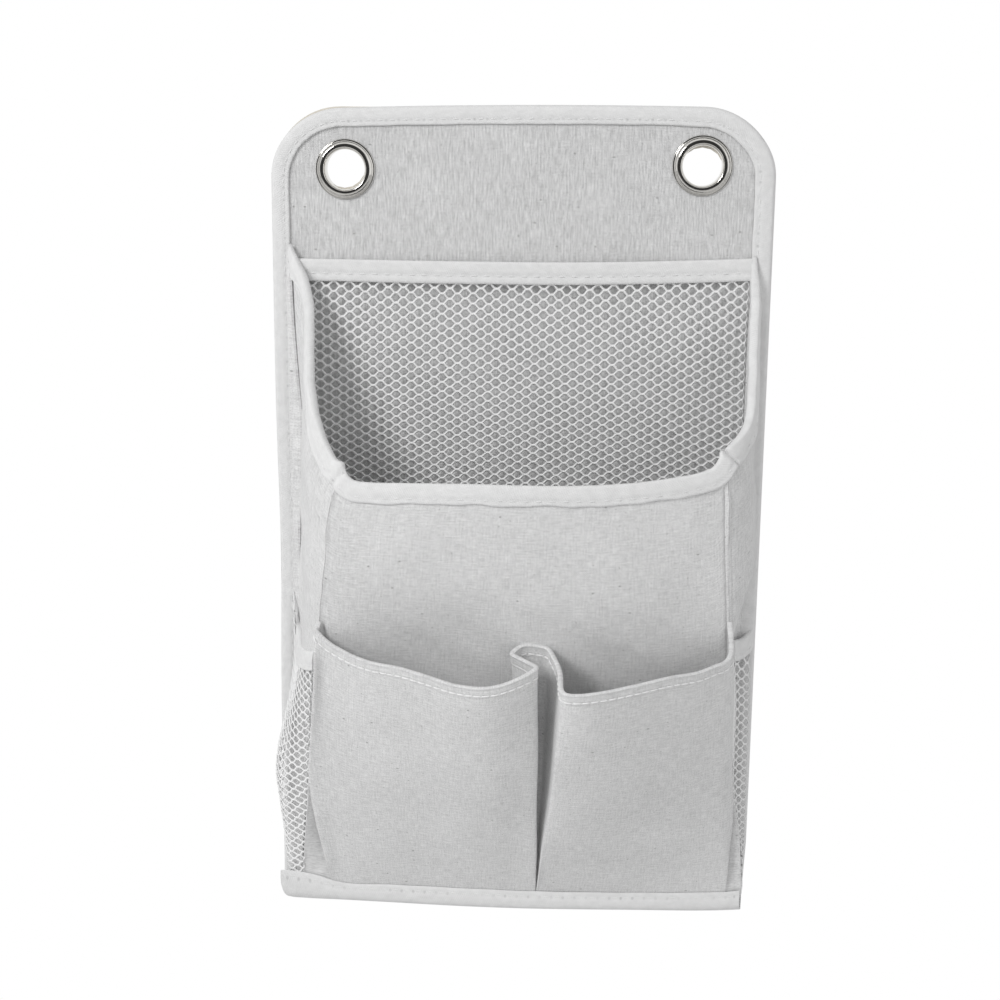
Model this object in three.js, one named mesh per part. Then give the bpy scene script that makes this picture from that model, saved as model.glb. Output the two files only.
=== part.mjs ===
// Wall hanging storage organizer in cloth: a stiffened back panel on two eyelets carries a flat net pocket,
// one deep gusseted pocket, a pleated panel of two front pockets and a net pocket on each side.
// Millimetres. X points right, Z up and Y to the rear: the wall is the plane y = 0 and the pockets face -Y.
// The origin lies on the wall, midway between the eyelet centres.

import * as THREE from 'three';
import { mergeVertices } from 'three/addons/utils/BufferGeometryUtils.js';

// Back panel
const PANEL_WIDTH = 200;
const PANEL_HEIGHT = 340;
const TOP_CORNER_RADIUS = 28;

// Eyelets
const EYELET_DROP = 24; // top edge of the panel to the eyelet centres
const EYELET_INSET = 29; // side edge of the panel to the eyelet centre
const EYELET_HOLE = 15.6;
const EYELET_RIM = 23.6; // outer diameter of the rolled flange
const EYELET_ROLL = 1.8; // height of the rolled flange over the cloth
const EYELET_WALL = 0.6; // sheet metal of the barrel
const CLINCH_WIDTH = 1.6; // barrel metal rolled out over the washer
const WASHER_WIDTH = 3.2;
const WASHER_THICKNESS = 0.6;

// Thickness of each layer
const LINING_THICKNESS = 0.6;
const BOARD_THICKNESS = 1.6;
const FACE_THICKNESS = 1.0;
const CLOTH_THICKNESS = 0.9;
const NET_THICKNESS = 0.6;
const TAPE_THICKNESS = 0.7;
const THREAD_DIAMETER = 0.5;

// Clearances
const LAYER_GAP = 0.25; // between layers that lie on each other
const SEAM_GAP = 0.4; // between the edges of pieces that are sewn together
const NET_FOLD_GAP = 0.75; // between a net and the tape folded over it

// Tapes, folded over the edges
const EDGE_TAPE_WIDTH = 7.6;
const BOTTOM_TAPE_WIDTH = 7.4;
const NET_TAPE_WIDTH = 8.4;
const MOUTH_TAPE_WIDTH = 8;
const SIDE_BAND_WIDTH = 7.4;
const STITCH_INSET = 1.8; // inner edge of a tape to its row of stitches

// Flat net pocket
const NET_DROP = 60.5; // top edge of the panel to the upper edge of the net's tape
const NET_BOW = 6.5; // how far the loose upper edge stands away from the panel
const NET_BOW_HEIGHT = 130; // the net lies flat again this far below its tape

// Main pocket
const MOUTH_DROP = 58; // top edge of the panel to the rear ends of the mouth
const RIM_DROP = 141; // top edge of the panel to the front rim
const RIM_REACH = 43; // rear seam to the front corners, at the rim
const RIM_INSET = 24; // side edge of the panel to the front corner, at the rim
const BASE_INSET = 8; // the same at the bottom seam
const REAR_INSET = 0.4; // edge tape to the rear seam of the gussets
const POCKET_SHIFT = 4; // the pocket's front sits this far to the right of the panel's middle
const CORNER_ROUND = 9; // round of the front corners at the rim
const CORNER_BASE_ROUND = 1.5; // the same at the bottom seam
const FRONT_BELLY = 9;
const GUSSET_BELLY = 5;
const BELLY_CURVE = 1.6; // power of the curve that brings the front in to the bottom seam
const GUSSET_END = 14; // bottom tape to the lower ends of the gussets
const STRAIGHT_DROP = 20; // the wall runs straight down from the mouth this far, under the tape

// Front pockets: one panel with a box pleat between them
const HEM_DROP = 203; // top edge of the panel to the hem at the side seams
const HEM_SAG = 12; // how far the hem drops where it stands out most
const HEM_STITCH_DROP = 3.6; // hem to its row of stitches
const PLEAT_STITCH_DROP = 8; // hem to the upper end of the pleat's seam
const PLEAT_STITCH_RISE = 5; // bottom tape to the lower end of the pleat's seam
const POCKET_REACH = 29; // main pocket to the fullest part of the front pockets
const POCKET_CURVE = 1.15; // power of the curve that brings the front pockets in to the bottom seam
const SIDE_FOLD_REACH = 6; // main pocket to the outer folds
const SIDE_SEAM_INSET = 2; // front corner to the side seams of the pocket panel
const SIDE_RETURN = 9; // side seam to the outer fold, at the bottom
const PLEAT_OFFSET = 3; // middle of the pleat's back from the middle of the pocket, at the hem
const PLEAT_WIDTH = 13.5; // back of the pleat, at the hem
const PLEAT_OPENING = 9.5; // between the folds, at the hem
const PLEAT_LEAN = 8.5; // the folds' opening lies this far right of the pleat's back, at the hem
const PLEAT_BASE_OFFSET = 6; // middle of the pleat from the middle of the pocket, at the bottom
const PLEAT_BASE_WIDTH = 1.6;
const PLEAT_BASE_OPENING = 4.4;
const FULL_POINT = 17; // fold of the pleat to the fullest part of the left pocket
const FULL_POINT_RIGHT = 5;
const FOLD_DROP = 3; // the fold stands back this far from the fullest part
const FOLD_ROUND = 4;

// Side net pockets
const SIDE_NET_DROP = 217; // top edge of the panel to the upper edge of the bands
const SIDE_NET_BULGE = 8.5;
const SIDE_NET_MARGIN = 0.04; // share of the gusset left free at each side seam

// Gaps of the nets: six-sided cells in rows
const NET_CELL = 24; // height of a cell, from strand to strand
const SIDE_NET_CELL = 7;
const NET_STRAND = 2.2;
const NET_BORDER = 1; // closed border that is caught in the seams

// Fineness of the curved surfaces
const ARC_STEPS = 8;
const FOLD_STEPS = 3;
const THREAD_SIDES = 4;
const LATHE_STEPS = 24;
const WELD = 1e-3; // points nearer than this are one point
const NUDGE = 1e-3; // half the step over which the way along the mouth is measured
const CUT_SHARE = 0.45; // largest share of a side that the round of a corner may take

// Heights
const zTop = EYELET_DROP;
const zBottom = zTop - PANEL_HEIGHT;
const zNet = zTop - NET_DROP;
const zMouth = zTop - MOUTH_DROP;
const zRim = zTop - RIM_DROP;
const zHem = zTop - HEM_DROP;
const zSideNet = zTop - SIDE_NET_DROP;
const zInside = zBottom + TAPE_THICKNESS + LAYER_GAP; // lower edge of what the bottom tape holds
const zSeam = zBottom + BOTTOM_TAPE_WIDTH + SEAM_GAP; // where the pockets leave the bottom tape

// Layers, as distances in front of the wall
const washerRear = EYELET_WALL + LAYER_GAP;
const liningRear = washerRear + WASHER_THICKNESS + LAYER_GAP;
const boardRear = liningRear + LINING_THICKNESS + LAYER_GAP;
const faceRear = boardRear + BOARD_THICKNESS + LAYER_GAP;
const faceFront = faceRear + FACE_THICKNESS;
const tapeRear = liningRear - LAYER_GAP - TAPE_THICKNESS;
const tapeFront = faceFront + LAYER_GAP + TAPE_THICKNESS;
const netMiddle = tapeFront + NET_FOLD_GAP + NET_THICKNESS / 2;
const netFront = netMiddle + NET_THICKNESS / 2;
const gussetRear = netFront + SEAM_GAP;
const wallSeam = netFront + LAYER_GAP + CLOTH_THICKNESS / 2;
const pocketGap = CLOTH_THICKNESS + LAYER_GAP; // middle of one cloth to the middle of the next
const bottomTapeFront = wallSeam + pocketGap + CLOTH_THICKNESS / 2 + LAYER_GAP + TAPE_THICKNESS;

// Widths
const halfWidth = PANEL_WIDTH / 2;
const innerHalf = halfWidth - EDGE_TAPE_WIDTH; // inner edge of the edge tape
const xRear = innerHalf - REAR_INSET;
const xEyelet = halfWidth - EYELET_INSET;
const panelInset = TAPE_THICKNESS + LAYER_GAP; // panel layers to the outer edge of the tape
const foldedHalf = CLOTH_THICKNESS / 2 + LAYER_GAP; // middle of a cloth to a tape folded over it
const foldedNetHalf = NET_THICKNESS / 2 + NET_FOLD_GAP;
const netEnd = xRear - foldedHalf - TAPE_THICKNESS - SEAM_GAP; // ends of the net's tape
const threadLift = LAYER_GAP + THREAD_DIAMETER / 2;

const COLOURS = {
  cloth: 0xb9b6b1, pocketCloth: 0xc6c3be, white: 0xe9e8e4, board: 0xd8d2c4, nickel: 0xc9c8c4,
};

const vec = (x, y, z) => new THREE.Vector3(x, y, z);
const mix = (a, b, t) => a + (b - a) * t;
const clamp = (t) => Math.min(1, Math.max(0, t));
const steps = (from, to, count) => Array.from({ length: count + 1 }, (_, i) => mix(from, to, i / count));

// Turns the faces of a closed body outward.
function outward(positions, index) {
  let volume = 0;
  const corner = [vec(), vec(), vec()];
  for (let i = 0; i < index.length; i += 3) {
    corner.forEach((c, k) => c.fromArray(positions, 3 * index[i + k]));
    volume += corner[0].dot(corner[1].clone().cross(corner[2]));
  }
  const geometry = new THREE.BufferGeometry();
  geometry.setAttribute('position', new THREE.Float32BufferAttribute(positions, 3));
  geometry.setIndex(volume < 0 ? index.slice().reverse() : index);
  geometry.computeVertexNormals();
  return geometry;
}

// A sheet of even thickness around a grid of points on its middle surface.
function sheet(grid, thickness) {
  const rows = grid.length;
  const columns = grid[0].length;
  const normal = gridNormals(grid);
  const positions = [];
  for (const side of [1, -1]) {
    for (let i = 0; i < rows; i++) {
      for (let j = 0; j < columns; j++) {
        const point = grid[i][j].clone().addScaledVector(normal[i][j], (side * thickness) / 2);
        positions.push(...point.toArray());
      }
    }
  }
  const back = rows * columns;
  const index = [];
  for (let i = 0; i + 1 < rows; i++) {
    for (let j = 0; j + 1 < columns; j++) {
      const a = i * columns + j;
      const b = a + columns;
      index.push(a, b, b + 1, a, b + 1, a + 1);
      index.push(back + a, back + b + 1, back + b, back + a, back + a + 1, back + b + 1);
    }
  }
  const loop = [];
  for (let i = 0; i + 1 < rows; i++) loop.push(i * columns);
  for (let j = 0; j + 1 < columns; j++) loop.push((rows - 1) * columns + j);
  for (let i = rows - 1; i > 0; i--) loop.push(i * columns + columns - 1);
  for (let j = columns - 1; j > 0; j--) loop.push(j);
  loop.forEach((p, k) => {
    const q = loop[(k + 1) % loop.length];
    index.push(q, p, back + p, q, back + p, back + q);
  });
  return outward(positions, index);
}

function gridNormals(grid) {
  const last = grid.length - 1;
  const end = grid[0].length - 1;
  return grid.map((row, i) => row.map((_, j) => {
    const along = grid[Math.min(i + 1, last)][j].clone().sub(grid[Math.max(i - 1, 0)][j]);
    const across = row[Math.min(j + 1, end)].clone().sub(row[Math.max(j - 1, 0)]);
    return along.cross(across).normalize();
  }));
}

// A closed outline carried along rings of points, with flat ends.
function loft(rings, outline) {
  const count = outline.length;
  const positions = rings.flat().flatMap((p) => p.toArray());
  const index = [];
  for (let k = 0; k + 1 < rings.length; k++) {
    for (let i = 0; i < count; i++) {
      const p = k * count + i;
      const q = k * count + ((i + 1) % count);
      index.push(p, q, q + count, p, q + count, p + count);
    }
  }
  const counterClockwise = THREE.ShapeUtils.area(outline) > 0;
  const last = (rings.length - 1) * count;
  for (const face of THREE.ShapeUtils.triangulateShape(outline, [])) {
    const [a, b, c] = face;
    const facing = THREE.ShapeUtils.area([outline[a], outline[b], outline[c]]) > 0;
    const [p, q, r] = facing === counterClockwise ? [a, b, c] : [a, c, b];
    index.push(last + p, last + q, last + r, r, q, p);
  }
  return outward(positions, index);
}

// Outline of a tape folded over an edge: across is the way through the cloth, down the way into it.
function foldedTape(rear, front, width, thickness, gap) {
  const top = -gap - thickness;
  return [
    [rear + thickness, top], [rear + thickness, width], [rear, width], [rear, -gap],
    [-front, -gap], [-front, width], [-front - thickness, width], [-front - thickness, top],
  ].map(([across, down]) => new THREE.Vector2(across, down));
}

// Rings of an outline in frames of a point, a way across and a way down.
function ringsAlong(frames, outline) {
  return frames.map((frame) => outline.map((o) => frame.point.clone()
    .addScaledVector(frame.across, o.x).addScaledVector(frame.down, o.y)));
}

function tapeAlong(frames, outline) {
  return loft(ringsAlong(frames, outline), outline);
}

// Thread laid along frames, at one place across and down.
function threadAlong(frames, across, down) {
  const turn = (i) => ((i + 0.5) / THREAD_SIDES) * 2 * Math.PI;
  const radius = THREAD_DIAMETER / 2;
  const ring = Array.from({ length: THREAD_SIDES }, (_, i) => (
    new THREE.Vector2(across + radius * Math.cos(turn(i)), down + radius * Math.sin(turn(i)))));
  return loft(ringsAlong(frames, ring), ring);
}

// Flat pieces of the back panel
function panelShape(inset) {
  const right = halfWidth - inset;
  const top = zTop - inset;
  const radius = TOP_CORNER_RADIUS - inset;
  const shape = new THREE.Shape();
  shape.moveTo(-right, zBottom + inset);
  shape.lineTo(right, zBottom + inset);
  shape.lineTo(right, top - radius);
  shape.absarc(right - radius, top - radius, radius, 0, Math.PI / 2, false);
  shape.absarc(-right + radius, top - radius, radius, Math.PI / 2, Math.PI, false);
  shape.closePath();
  return shape;
}

function panelLayer(rear, thickness) {
  const shape = panelShape(panelInset);
  const bore = EYELET_HOLE / 2 + EYELET_WALL + LAYER_GAP;
  for (const side of [-1, 1]) {
    const hole = new THREE.Path();
    hole.absarc(side * xEyelet, 0, bore, 0, 2 * Math.PI, true);
    shape.holes.push(hole);
  }
  const geometry = new THREE.ExtrudeGeometry(shape, {
    depth: thickness, bevelEnabled: false, curveSegments: ARC_STEPS,
  });
  return geometry.rotateX(Math.PI / 2).translate(0, -rear, 0);
}

// Edge of the panel from the bottom tape up, over the top and down again.
function edgeFrames() {
  const radius = TOP_CORNER_RADIUS;
  const centreZ = zTop - radius;
  const frame = (x, z, inX, inZ) => ({ point: vec(x, 0, z), across: vec(0, 1, 0), down: vec(inX, 0, inZ) });
  const arc = (side, from, to) => steps(from, to, ARC_STEPS).map((turn) => {
    const c = Math.cos(turn);
    const s = Math.sin(turn);
    return frame(side * (halfWidth - radius) + radius * c, centreZ + radius * s, -c, -s);
  });
  return [
    frame(-halfWidth, zSeam, 1, 0),
    ...arc(-1, Math.PI, Math.PI / 2),
    ...arc(1, Math.PI / 2, 0),
    frame(halfWidth, zSeam, -1, 0),
  ];
}

function bottomFrames() {
  return [-1, 1].map((side) => ({
    point: vec(side * halfWidth, 0, zBottom), across: vec(0, 1, 0), down: vec(0, 0, 1),
  }));
}

// Tape outline around the layers of the back panel, measured from the outer edge of the tape.
function edgeTapeOutline(front, width) {
  const rear = -tapeRear - TAPE_THICKNESS;
  return foldedTape(rear, front - TAPE_THICKNESS, width, TAPE_THICKNESS, -TAPE_THICKNESS);
}

// Eyelet: a rolled flange in front, a barrel through the panel and a clinched end over the washer.
function eyelet() {
  const inner = EYELET_HOLE / 2;
  const outer = inner + EYELET_WALL;
  const rim = EYELET_RIM / 2;
  const seat = faceFront + LAYER_GAP;
  const crown = seat + EYELET_ROLL;
  const middle = (inner + rim) / 2;
  const roll = steps(0, Math.PI, ARC_STEPS).map((turn) => (
    [middle + (rim - middle) * Math.cos(turn), seat + (crown - seat) * Math.sin(turn)]));
  const profile = [
    [outer, seat], ...roll, [inner, 0], [outer + CLINCH_WIDTH, 0], [outer + CLINCH_WIDTH, EYELET_WALL],
    [outer, EYELET_WALL], [outer, seat],
  ];
  return turned(profile);
}

function washer() {
  const inner = EYELET_HOLE / 2 + EYELET_WALL + LAYER_GAP;
  const outer = inner + WASHER_WIDTH;
  const front = washerRear + WASHER_THICKNESS;
  const corners = [[inner, washerRear], [outer, washerRear], [outer, front], [inner, front]];
  return turned([...corners, corners[0]]);
}

// A profile of radius and distance from the wall, turned about the axis of an eyelet.
function turned(profile) {
  const points = profile.map(([radius, reach]) => new THREE.Vector2(radius, reach));
  const geometry = new THREE.LatheGeometry(points, LATHE_STEPS).rotateX(Math.PI);
  return closed(geometry);
}

function closed(geometry) {
  geometry.deleteAttribute('normal');
  geometry.deleteAttribute('uv');
  const merged = mergeVertices(geometry, WELD);
  return outward(Array.from(merged.attributes.position.array), Array.from(merged.index.array));
}

// Flat net pocket: the net stands away from the panel along its upper edge.
function netPoint(x, z) {
  const down = clamp((zNet - z) / NET_BOW_HEIGHT);
  const bow = NET_BOW * (1 - clamp(Math.abs(x) / netEnd) ** 2) * Math.cos((down * Math.PI) / 2) ** 2;
  return vec(x, -netMiddle - bow, z);
}

function netFrames() {
  return steps(-netEnd, netEnd, 2 * ARC_STEPS).map((x) => ({
    point: netPoint(x, zNet), across: vec(0, 1, 0), down: vec(0, 0, -1),
  }));
}

// A net: six-sided cells that fill a convex flat outline, bent onto a surface that takes a flat place and a
// lift. A whole cell is a ring around its gap; a cell that the outline cuts is closed.
function net(outline, cell, place) {
  const side = cell / Math.sqrt(3);
  const gap = side - NET_STRAND / Math.sqrt(3);
  const box = new THREE.Box2().setFromPoints(outline);
  const inside = insideTest(outline, NET_BORDER);
  const middle = (box.max.x + box.min.x) / 2;
  const columns = Math.ceil((box.max.x - box.min.x) / (1.5 * side) / 2) + 1;
  const flat = [];
  const hexagon = (x, z, radius) => Array.from({ length: 6 }, (_, i) => new THREE.Vector2(
    x + radius * Math.cos((i * Math.PI) / 3), z + radius * Math.sin((i * Math.PI) / 3)));
  for (let column = -columns; column <= columns; column++) {
    const x = middle + column * 1.5 * side;
    const shift = column % 2 ? cell / 2 : 0;
    for (let z = box.max.y + cell / 4 + shift; z > box.min.y - cell; z -= cell) {
      const outer = hexagon(x, z, side);
      const inner = hexagon(x, z, gap);
      if (outer.every(inside)) flat.push(...ringFaces(outer, inner));
      else flat.push(...fanFaces(clipped(outer, outline)));
    }
  }
  return thickened(flat, place);
}

function ringFaces(outer, inner) {
  return outer.flatMap((p, i) => {
    const k = (i + 1) % outer.length;
    return [[p, outer[k], inner[k]], [p, inner[k], inner[i]]];
  });
}

function fanFaces(polygon) {
  const middle = polygon.reduce((sum, p) => sum.add(p), new THREE.Vector2()).divideScalar(polygon.length);
  return polygon.map((p, i) => [middle, p, polygon[(i + 1) % polygon.length]]);
}

// The part of a convex polygon that lies inside a convex outline.
function clipped(polygon, outline) {
  const facing = Math.sign(THREE.ShapeUtils.area(outline));
  let kept = polygon;
  outline.forEach((from, i) => {
    const along = outline[(i + 1) % outline.length].clone().sub(from);
    const height = (p) => (facing * along.cross(p.clone().sub(from))) / along.length();
    const next = [];
    kept.forEach((p, k) => {
      const q = kept[(k + 1) % kept.length];
      const hp = height(p);
      const hq = height(q);
      if (hp >= 0) next.push(p);
      if (hp * hq < 0) next.push(p.clone().lerp(q, hp / (hp - hq)));
    });
    kept = next;
  });
  return kept.length > 2 && Math.abs(THREE.ShapeUtils.area(kept)) > WELD ? kept : [];
}

// Gives flat faces the net's thickness on a curved surface and walls along every open edge.
function thickened(faces, place) {
  const places = new Map();
  const points = [];
  const number = (p) => {
    const key = `${Math.round(p.x / WELD)},${Math.round(p.y / WELD)}`;
    if (!places.has(key)) places.set(key, points.push(p) - 1);
    return places.get(key);
  };
  const triangles = faces.map((face) => face.map(number)).filter((t) => new Set(t).size === 3);
  const edges = new Set(triangles.flatMap(([a, b, c]) => [`${a},${b}`, `${b},${c}`, `${c},${a}`]));
  const back = points.length;
  const positions = [1, -1].flatMap((half) => points.flatMap((p) => (
    place(p.x, p.y, (half * NET_THICKNESS) / 2).toArray())));
  const index = triangles.flatMap(([a, b, c]) => [a, b, c, back + a, back + c, back + b]);
  for (const edge of edges) {
    const [a, b] = edge.split(',').map(Number);
    if (!edges.has(`${b},${a}`)) index.push(b, a, back + a, b, back + a, back + b);
  }
  return outward(positions, index);
}

// Tells whether a point lies inside a convex outline, at least a margin from each edge.
function insideTest(outline, margin) {
  const facing = Math.sign(THREE.ShapeUtils.area(outline));
  return (point) => outline.every((from, i) => {
    const along = outline[(i + 1) % outline.length].clone().sub(from);
    return (facing * along.cross(point.clone().sub(from))) / along.length() > margin;
  });
}

function flatNet() {
  const half = innerHalf - LAYER_GAP;
  const outline = [[half, zInside], [half, zNet], [-half, zNet], [-half, zInside]]
    .map(([x, z]) => new THREE.Vector2(x, z));
  return net(outline, NET_CELL, (x, z, lift) => netPoint(x, z).add(vec(0, -lift, 0)));
}

// Main pocket. Its wall runs from the left rear seam (a = 0) around the left corner (a = 1 to 2), along the
// front (a = 2 to 3) and around the right corner to the right rear seam (a = 5); v is 0 at the mouth and 1
// where the wall enters the bottom tape, and goes on below it.
// The side seams lie in the middle of the corners.
const STATION = { sideSeam: 1.5, end: 5 };
const rise = (z) => clamp((z - zSeam) / (zRim - zSeam));
const fullness = (z) => 1 - (1 - rise(z)) ** BELLY_CURVE;
const cornerRound = (z) => mix(CORNER_BASE_ROUND, CORNER_ROUND, fullness(z));
const cornerX = (side, z) => POCKET_SHIFT + side * (halfWidth - mix(BASE_INSET, RIM_INSET, rise(z)));
const cornerReach = (z) => wallSeam + RIM_REACH * fullness(z);
const frontX = (side, z) => cornerX(side, z) - side * cornerRound(z);

function wall(a, v) {
  const side = a < STATION.end / 2 ? -1 : 1;
  const run = side < 0 ? a : STATION.end - a;
  const z = zRim + (zSeam - zRim) * v;
  const corner = vec(cornerX(side, z), -cornerReach(z), z);
  if (run >= 2) return front(a - 2, z);
  const rear = vec(side * xRear, -gussetRear, mix(zMouth, zSeam, v));
  const cut = Math.min(CUT_SHARE, cornerRound(z) / rear.distanceTo(corner));
  const bend = rear.clone().lerp(corner, 1 - cut);
  if (run <= 1) {
    const belly = GUSSET_BELLY * Math.sin(Math.PI * run) * (1 - v) ** 2;
    return rear.lerp(bend, run).add(vec(side * belly, 0, 0));
  }
  const t = run - 1;
  const near = bend.lerp(corner, t);
  return near.lerp(corner.clone().lerp(vec(frontX(side, z), -cornerReach(z), z), t), t);
}

function front(across, z) {
  const x = mix(frontX(-1, z), frontX(1, z), across);
  return vec(x, frontY(x, z), z);
}

function frontY(x, z) {
  const left = frontX(-1, z);
  const place = clamp((x - left) / (frontX(1, z) - left));
  const belly = FRONT_BELLY * fullness(z) * 4 * place * (1 - place);
  return -cornerReach(z) - belly;
}

// Edge of the front (facing 1) or of a gusset (facing -1) at the side seam.
const seamAt = (v, facing) => STATION.sideSeam + (facing * SEAM_GAP) / wall(1, v).distanceTo(wall(2, v));
const vStraight = STRAIGHT_DROP / (zRim - zSeam);
const vInside = 1 + (zSeam - zInside) / (zRim - zSeam);
const vGussetEnd = 1 - GUSSET_END / (zRim - zSeam);

function mainFront() {
  const rows = [0, ...steps(vStraight, 1, ARC_STEPS), vInside].map((v) => {
    const corner = steps(seamAt(v, 1), 2, FOLD_STEPS);
    const others = corner.map((s) => STATION.end - s).reverse();
    const a = [...corner, ...steps(2, 3, ARC_STEPS).slice(1, -1), ...others];
    return a.map((s) => wall(s, v));
  });
  return sheet(rows, CLOTH_THICKNESS);
}

function gusset(side) {
  const rows = [0, ...steps(vStraight, vGussetEnd, ARC_STEPS)].map((v) => {
    const a = [...steps(0, 1, ARC_STEPS), ...steps(1, seamAt(v, -1), FOLD_STEPS).slice(1)];
    return a.map((s) => wall(side < 0 ? s : STATION.end - s, v));
  });
  return sheet(rows, CLOTH_THICKNESS);
}

// Frames along the mouth: across points out of the pocket, down follows the wall and is stretched where the
// edge runs steeply, so that a tape keeps its width square to the edge.
function mouthFrames() {
  const a = [...steps(0, 1, ARC_STEPS), ...steps(1, 2, 2 * FOLD_STEPS).slice(1),
    ...steps(2, 3, ARC_STEPS).slice(1), ...steps(3, 4, 2 * FOLD_STEPS).slice(1),
    ...steps(4, STATION.end, ARC_STEPS).slice(1)];
  return a.map((s) => {
    const from = Math.max(0, s - NUDGE);
    const to = Math.min(STATION.end, s + NUDGE);
    const along = wall(to, 0).sub(wall(from, 0)).normalize();
    const down = wall(s, vStraight).sub(wall(s, 0)).normalize();
    const across = along.clone().cross(down);
    const slope = across.length();
    return { point: wall(s, 0), across: across.divideScalar(-slope), down: down.divideScalar(slope) };
  });
}

// Front pockets. A section of the panel is a row of corners, each with its place across and its reach in
// front of the main pocket; share is 0 at the hem and 1 at the bottom seam.
function pocketSection(share, z) {
  const reach = 1 - share ** POCKET_CURVE;
  const seam = (side) => cornerX(side, z) - side * SIDE_SEAM_INSET;
  const fold = (side) => cornerX(side, z) - side * SIDE_RETURN * share;
  const pleat = POCKET_SHIFT + mix(PLEAT_OFFSET, PLEAT_BASE_OFFSET, share);
  const back = mix(PLEAT_WIDTH, PLEAT_BASE_WIDTH, share) / 2;
  const lean = pleat + mix(PLEAT_LEAN, 0, share);
  const opening = mix(PLEAT_OPENING, PLEAT_BASE_OPENING, share) / 2;
  return [
    [seam(-1), 0],
    [fold(-1), SIDE_FOLD_REACH],
    [lean - opening - FULL_POINT, POCKET_REACH],
    [lean - opening, POCKET_REACH - FOLD_DROP],
    [pleat - back, 0],
    [pleat + back, 0],
    [lean + opening, POCKET_REACH - FOLD_DROP],
    [lean + opening + FULL_POINT_RIGHT, POCKET_REACH],
    [fold(1), SIDE_FOLD_REACH],
    [seam(1), 0],
  ].map(([x, out]) => new THREE.Vector2(x, out * reach));
}

// Rounds the inner corners of a section and divides its long runs, those that end at the full points or
// start from them.
function roundedSection(corners) {
  const points = [corners[0]];
  for (let i = 1; i + 1 < corners.length; i++) {
    const here = corners[i];
    const share = (other) => Math.min(CUT_SHARE, FOLD_ROUND / here.distanceTo(other));
    const cut = (other) => here.clone().lerp(other, share(other));
    const into = cut(corners[i - 1]);
    const out = cut(corners[i + 1]);
    const last = points[points.length - 1];
    const divide = i === 2 || i === corners.length - 2 ? FOLD_STEPS + 1 : 1;
    for (let k = 1; k < divide; k++) points.push(last.clone().lerp(into, k / divide));
    for (const t of steps(0, 1, FOLD_STEPS)) {
      points.push(into.clone().lerp(here, t).lerp(here.clone().lerp(out, t), t));
    }
  }
  points.push(corners[corners.length - 1]);
  return points;
}

function pocketRow(share, drop) {
  const level = (out) => mix(zHem - HEM_SAG * (out / POCKET_REACH), zSeam, share) - drop;
  const hemReach = roundedSection(pocketSection(0, zHem));
  return roundedSection(pocketSection(share, mix(zHem, zSeam, share))).map((p, i) => {
    const z = level(hemReach[i].y);
    return vec(p.x, frontY(p.x, z) - pocketGap - p.y, z);
  });
}

function frontPockets() {
  const rows = steps(0, 1, ARC_STEPS - 1).map((share) => pocketRow(share, 0));
  rows.push(pocketRow(1, zSeam - zInside));
  return sheet(rows, CLOTH_THICKNESS);
}

function hemFrames() {
  const share = HEM_STITCH_DROP / (zHem - zSeam);
  const rows = [pocketRow(0, 0), pocketRow(share, 0), pocketRow(2 * share, 0)];
  const normals = gridNormals(rows)[1];
  return rows[1].map((point, i) => ({
    point, across: normals[i], down: rows[2][i].clone().sub(rows[0][i]).normalize(),
  })).slice(1, -1);
}

// Side net pockets lie outside the gussets and bulge away from them.
const sideNetLift = CLOTH_THICKNESS / 2 + LAYER_GAP + TAPE_THICKNESS + foldedNetHalf;

function sideNetPoint(side, u, z, lift) {
  const run = mix(SIDE_NET_MARGIN, 1 - SIDE_NET_MARGIN, u);
  const mouth = wall(run, 0).z;
  const end = wall(run, 1).z;
  const point = wall(side < 0 ? run : STATION.end - run, (z - mouth) / (end - mouth));
  const down = clamp((zSideNet - z) / (zSideNet - zSeam));
  const bulge = SIDE_NET_BULGE * Math.sin(Math.PI * u) * (1 - down ** 2);
  return point.add(vec(side * (sideNetLift + bulge + lift), 0, 0));
}

function sideNetWidth(side, z) {
  return sideNetPoint(side, 0, z, 0).distanceTo(sideNetPoint(side, 1, z, 0));
}

function sideNet(side) {
  const low = zSeam + GUSSET_END;
  const width = sideNetWidth(side, zSideNet);
  const lowWidth = sideNetWidth(side, low);
  const edge = (z) => mix(width, lowWidth, (zSideNet - z) / (zSideNet - low));
  const outline = [[0, low], [lowWidth, low], [width, zSideNet], [0, zSideNet]]
    .map(([x, z]) => new THREE.Vector2(x, z));
  const place = (x, z, lift) => sideNetPoint(side, clamp(x / edge(z)), z, lift);
  return net(outline, SIDE_NET_CELL, place);
}

function sideBandFrames(side) {
  return steps(0, 1, 2 * ARC_STEPS).map((u) => {
    const point = sideNetPoint(side, u, zSideNet, 0);
    const down = sideNetPoint(side, u, zSideNet - SIDE_BAND_WIDTH, 0).sub(point).normalize();
    return { point, across: vec(-side, 0, 0), down };
  });
}

// Seam that holds the back of the pleat on the main pocket.
function pleatFrames() {
  return steps(zHem - PLEAT_STITCH_DROP, zSeam + PLEAT_STITCH_RISE, ARC_STEPS).map((z) => {
    const corners = pocketSection((zHem - z) / (zHem - zSeam), z);
    const x = (corners[4].x + corners[5].x) / 2;
    return { point: vec(x, frontY(x, z) - pocketGap, z), across: vec(0, -1, 0), down: vec(1, 0, 0) };
  });
}

const organizer = new THREE.Group();

function add(name, geometry, colour, roughness, metalness = 0) {
  const material = new THREE.MeshStandardMaterial({ color: colour, roughness, metalness });
  const mesh = new THREE.Mesh(geometry, material);
  mesh.name = name;
  organizer.add(mesh);
  return mesh;
}

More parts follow.
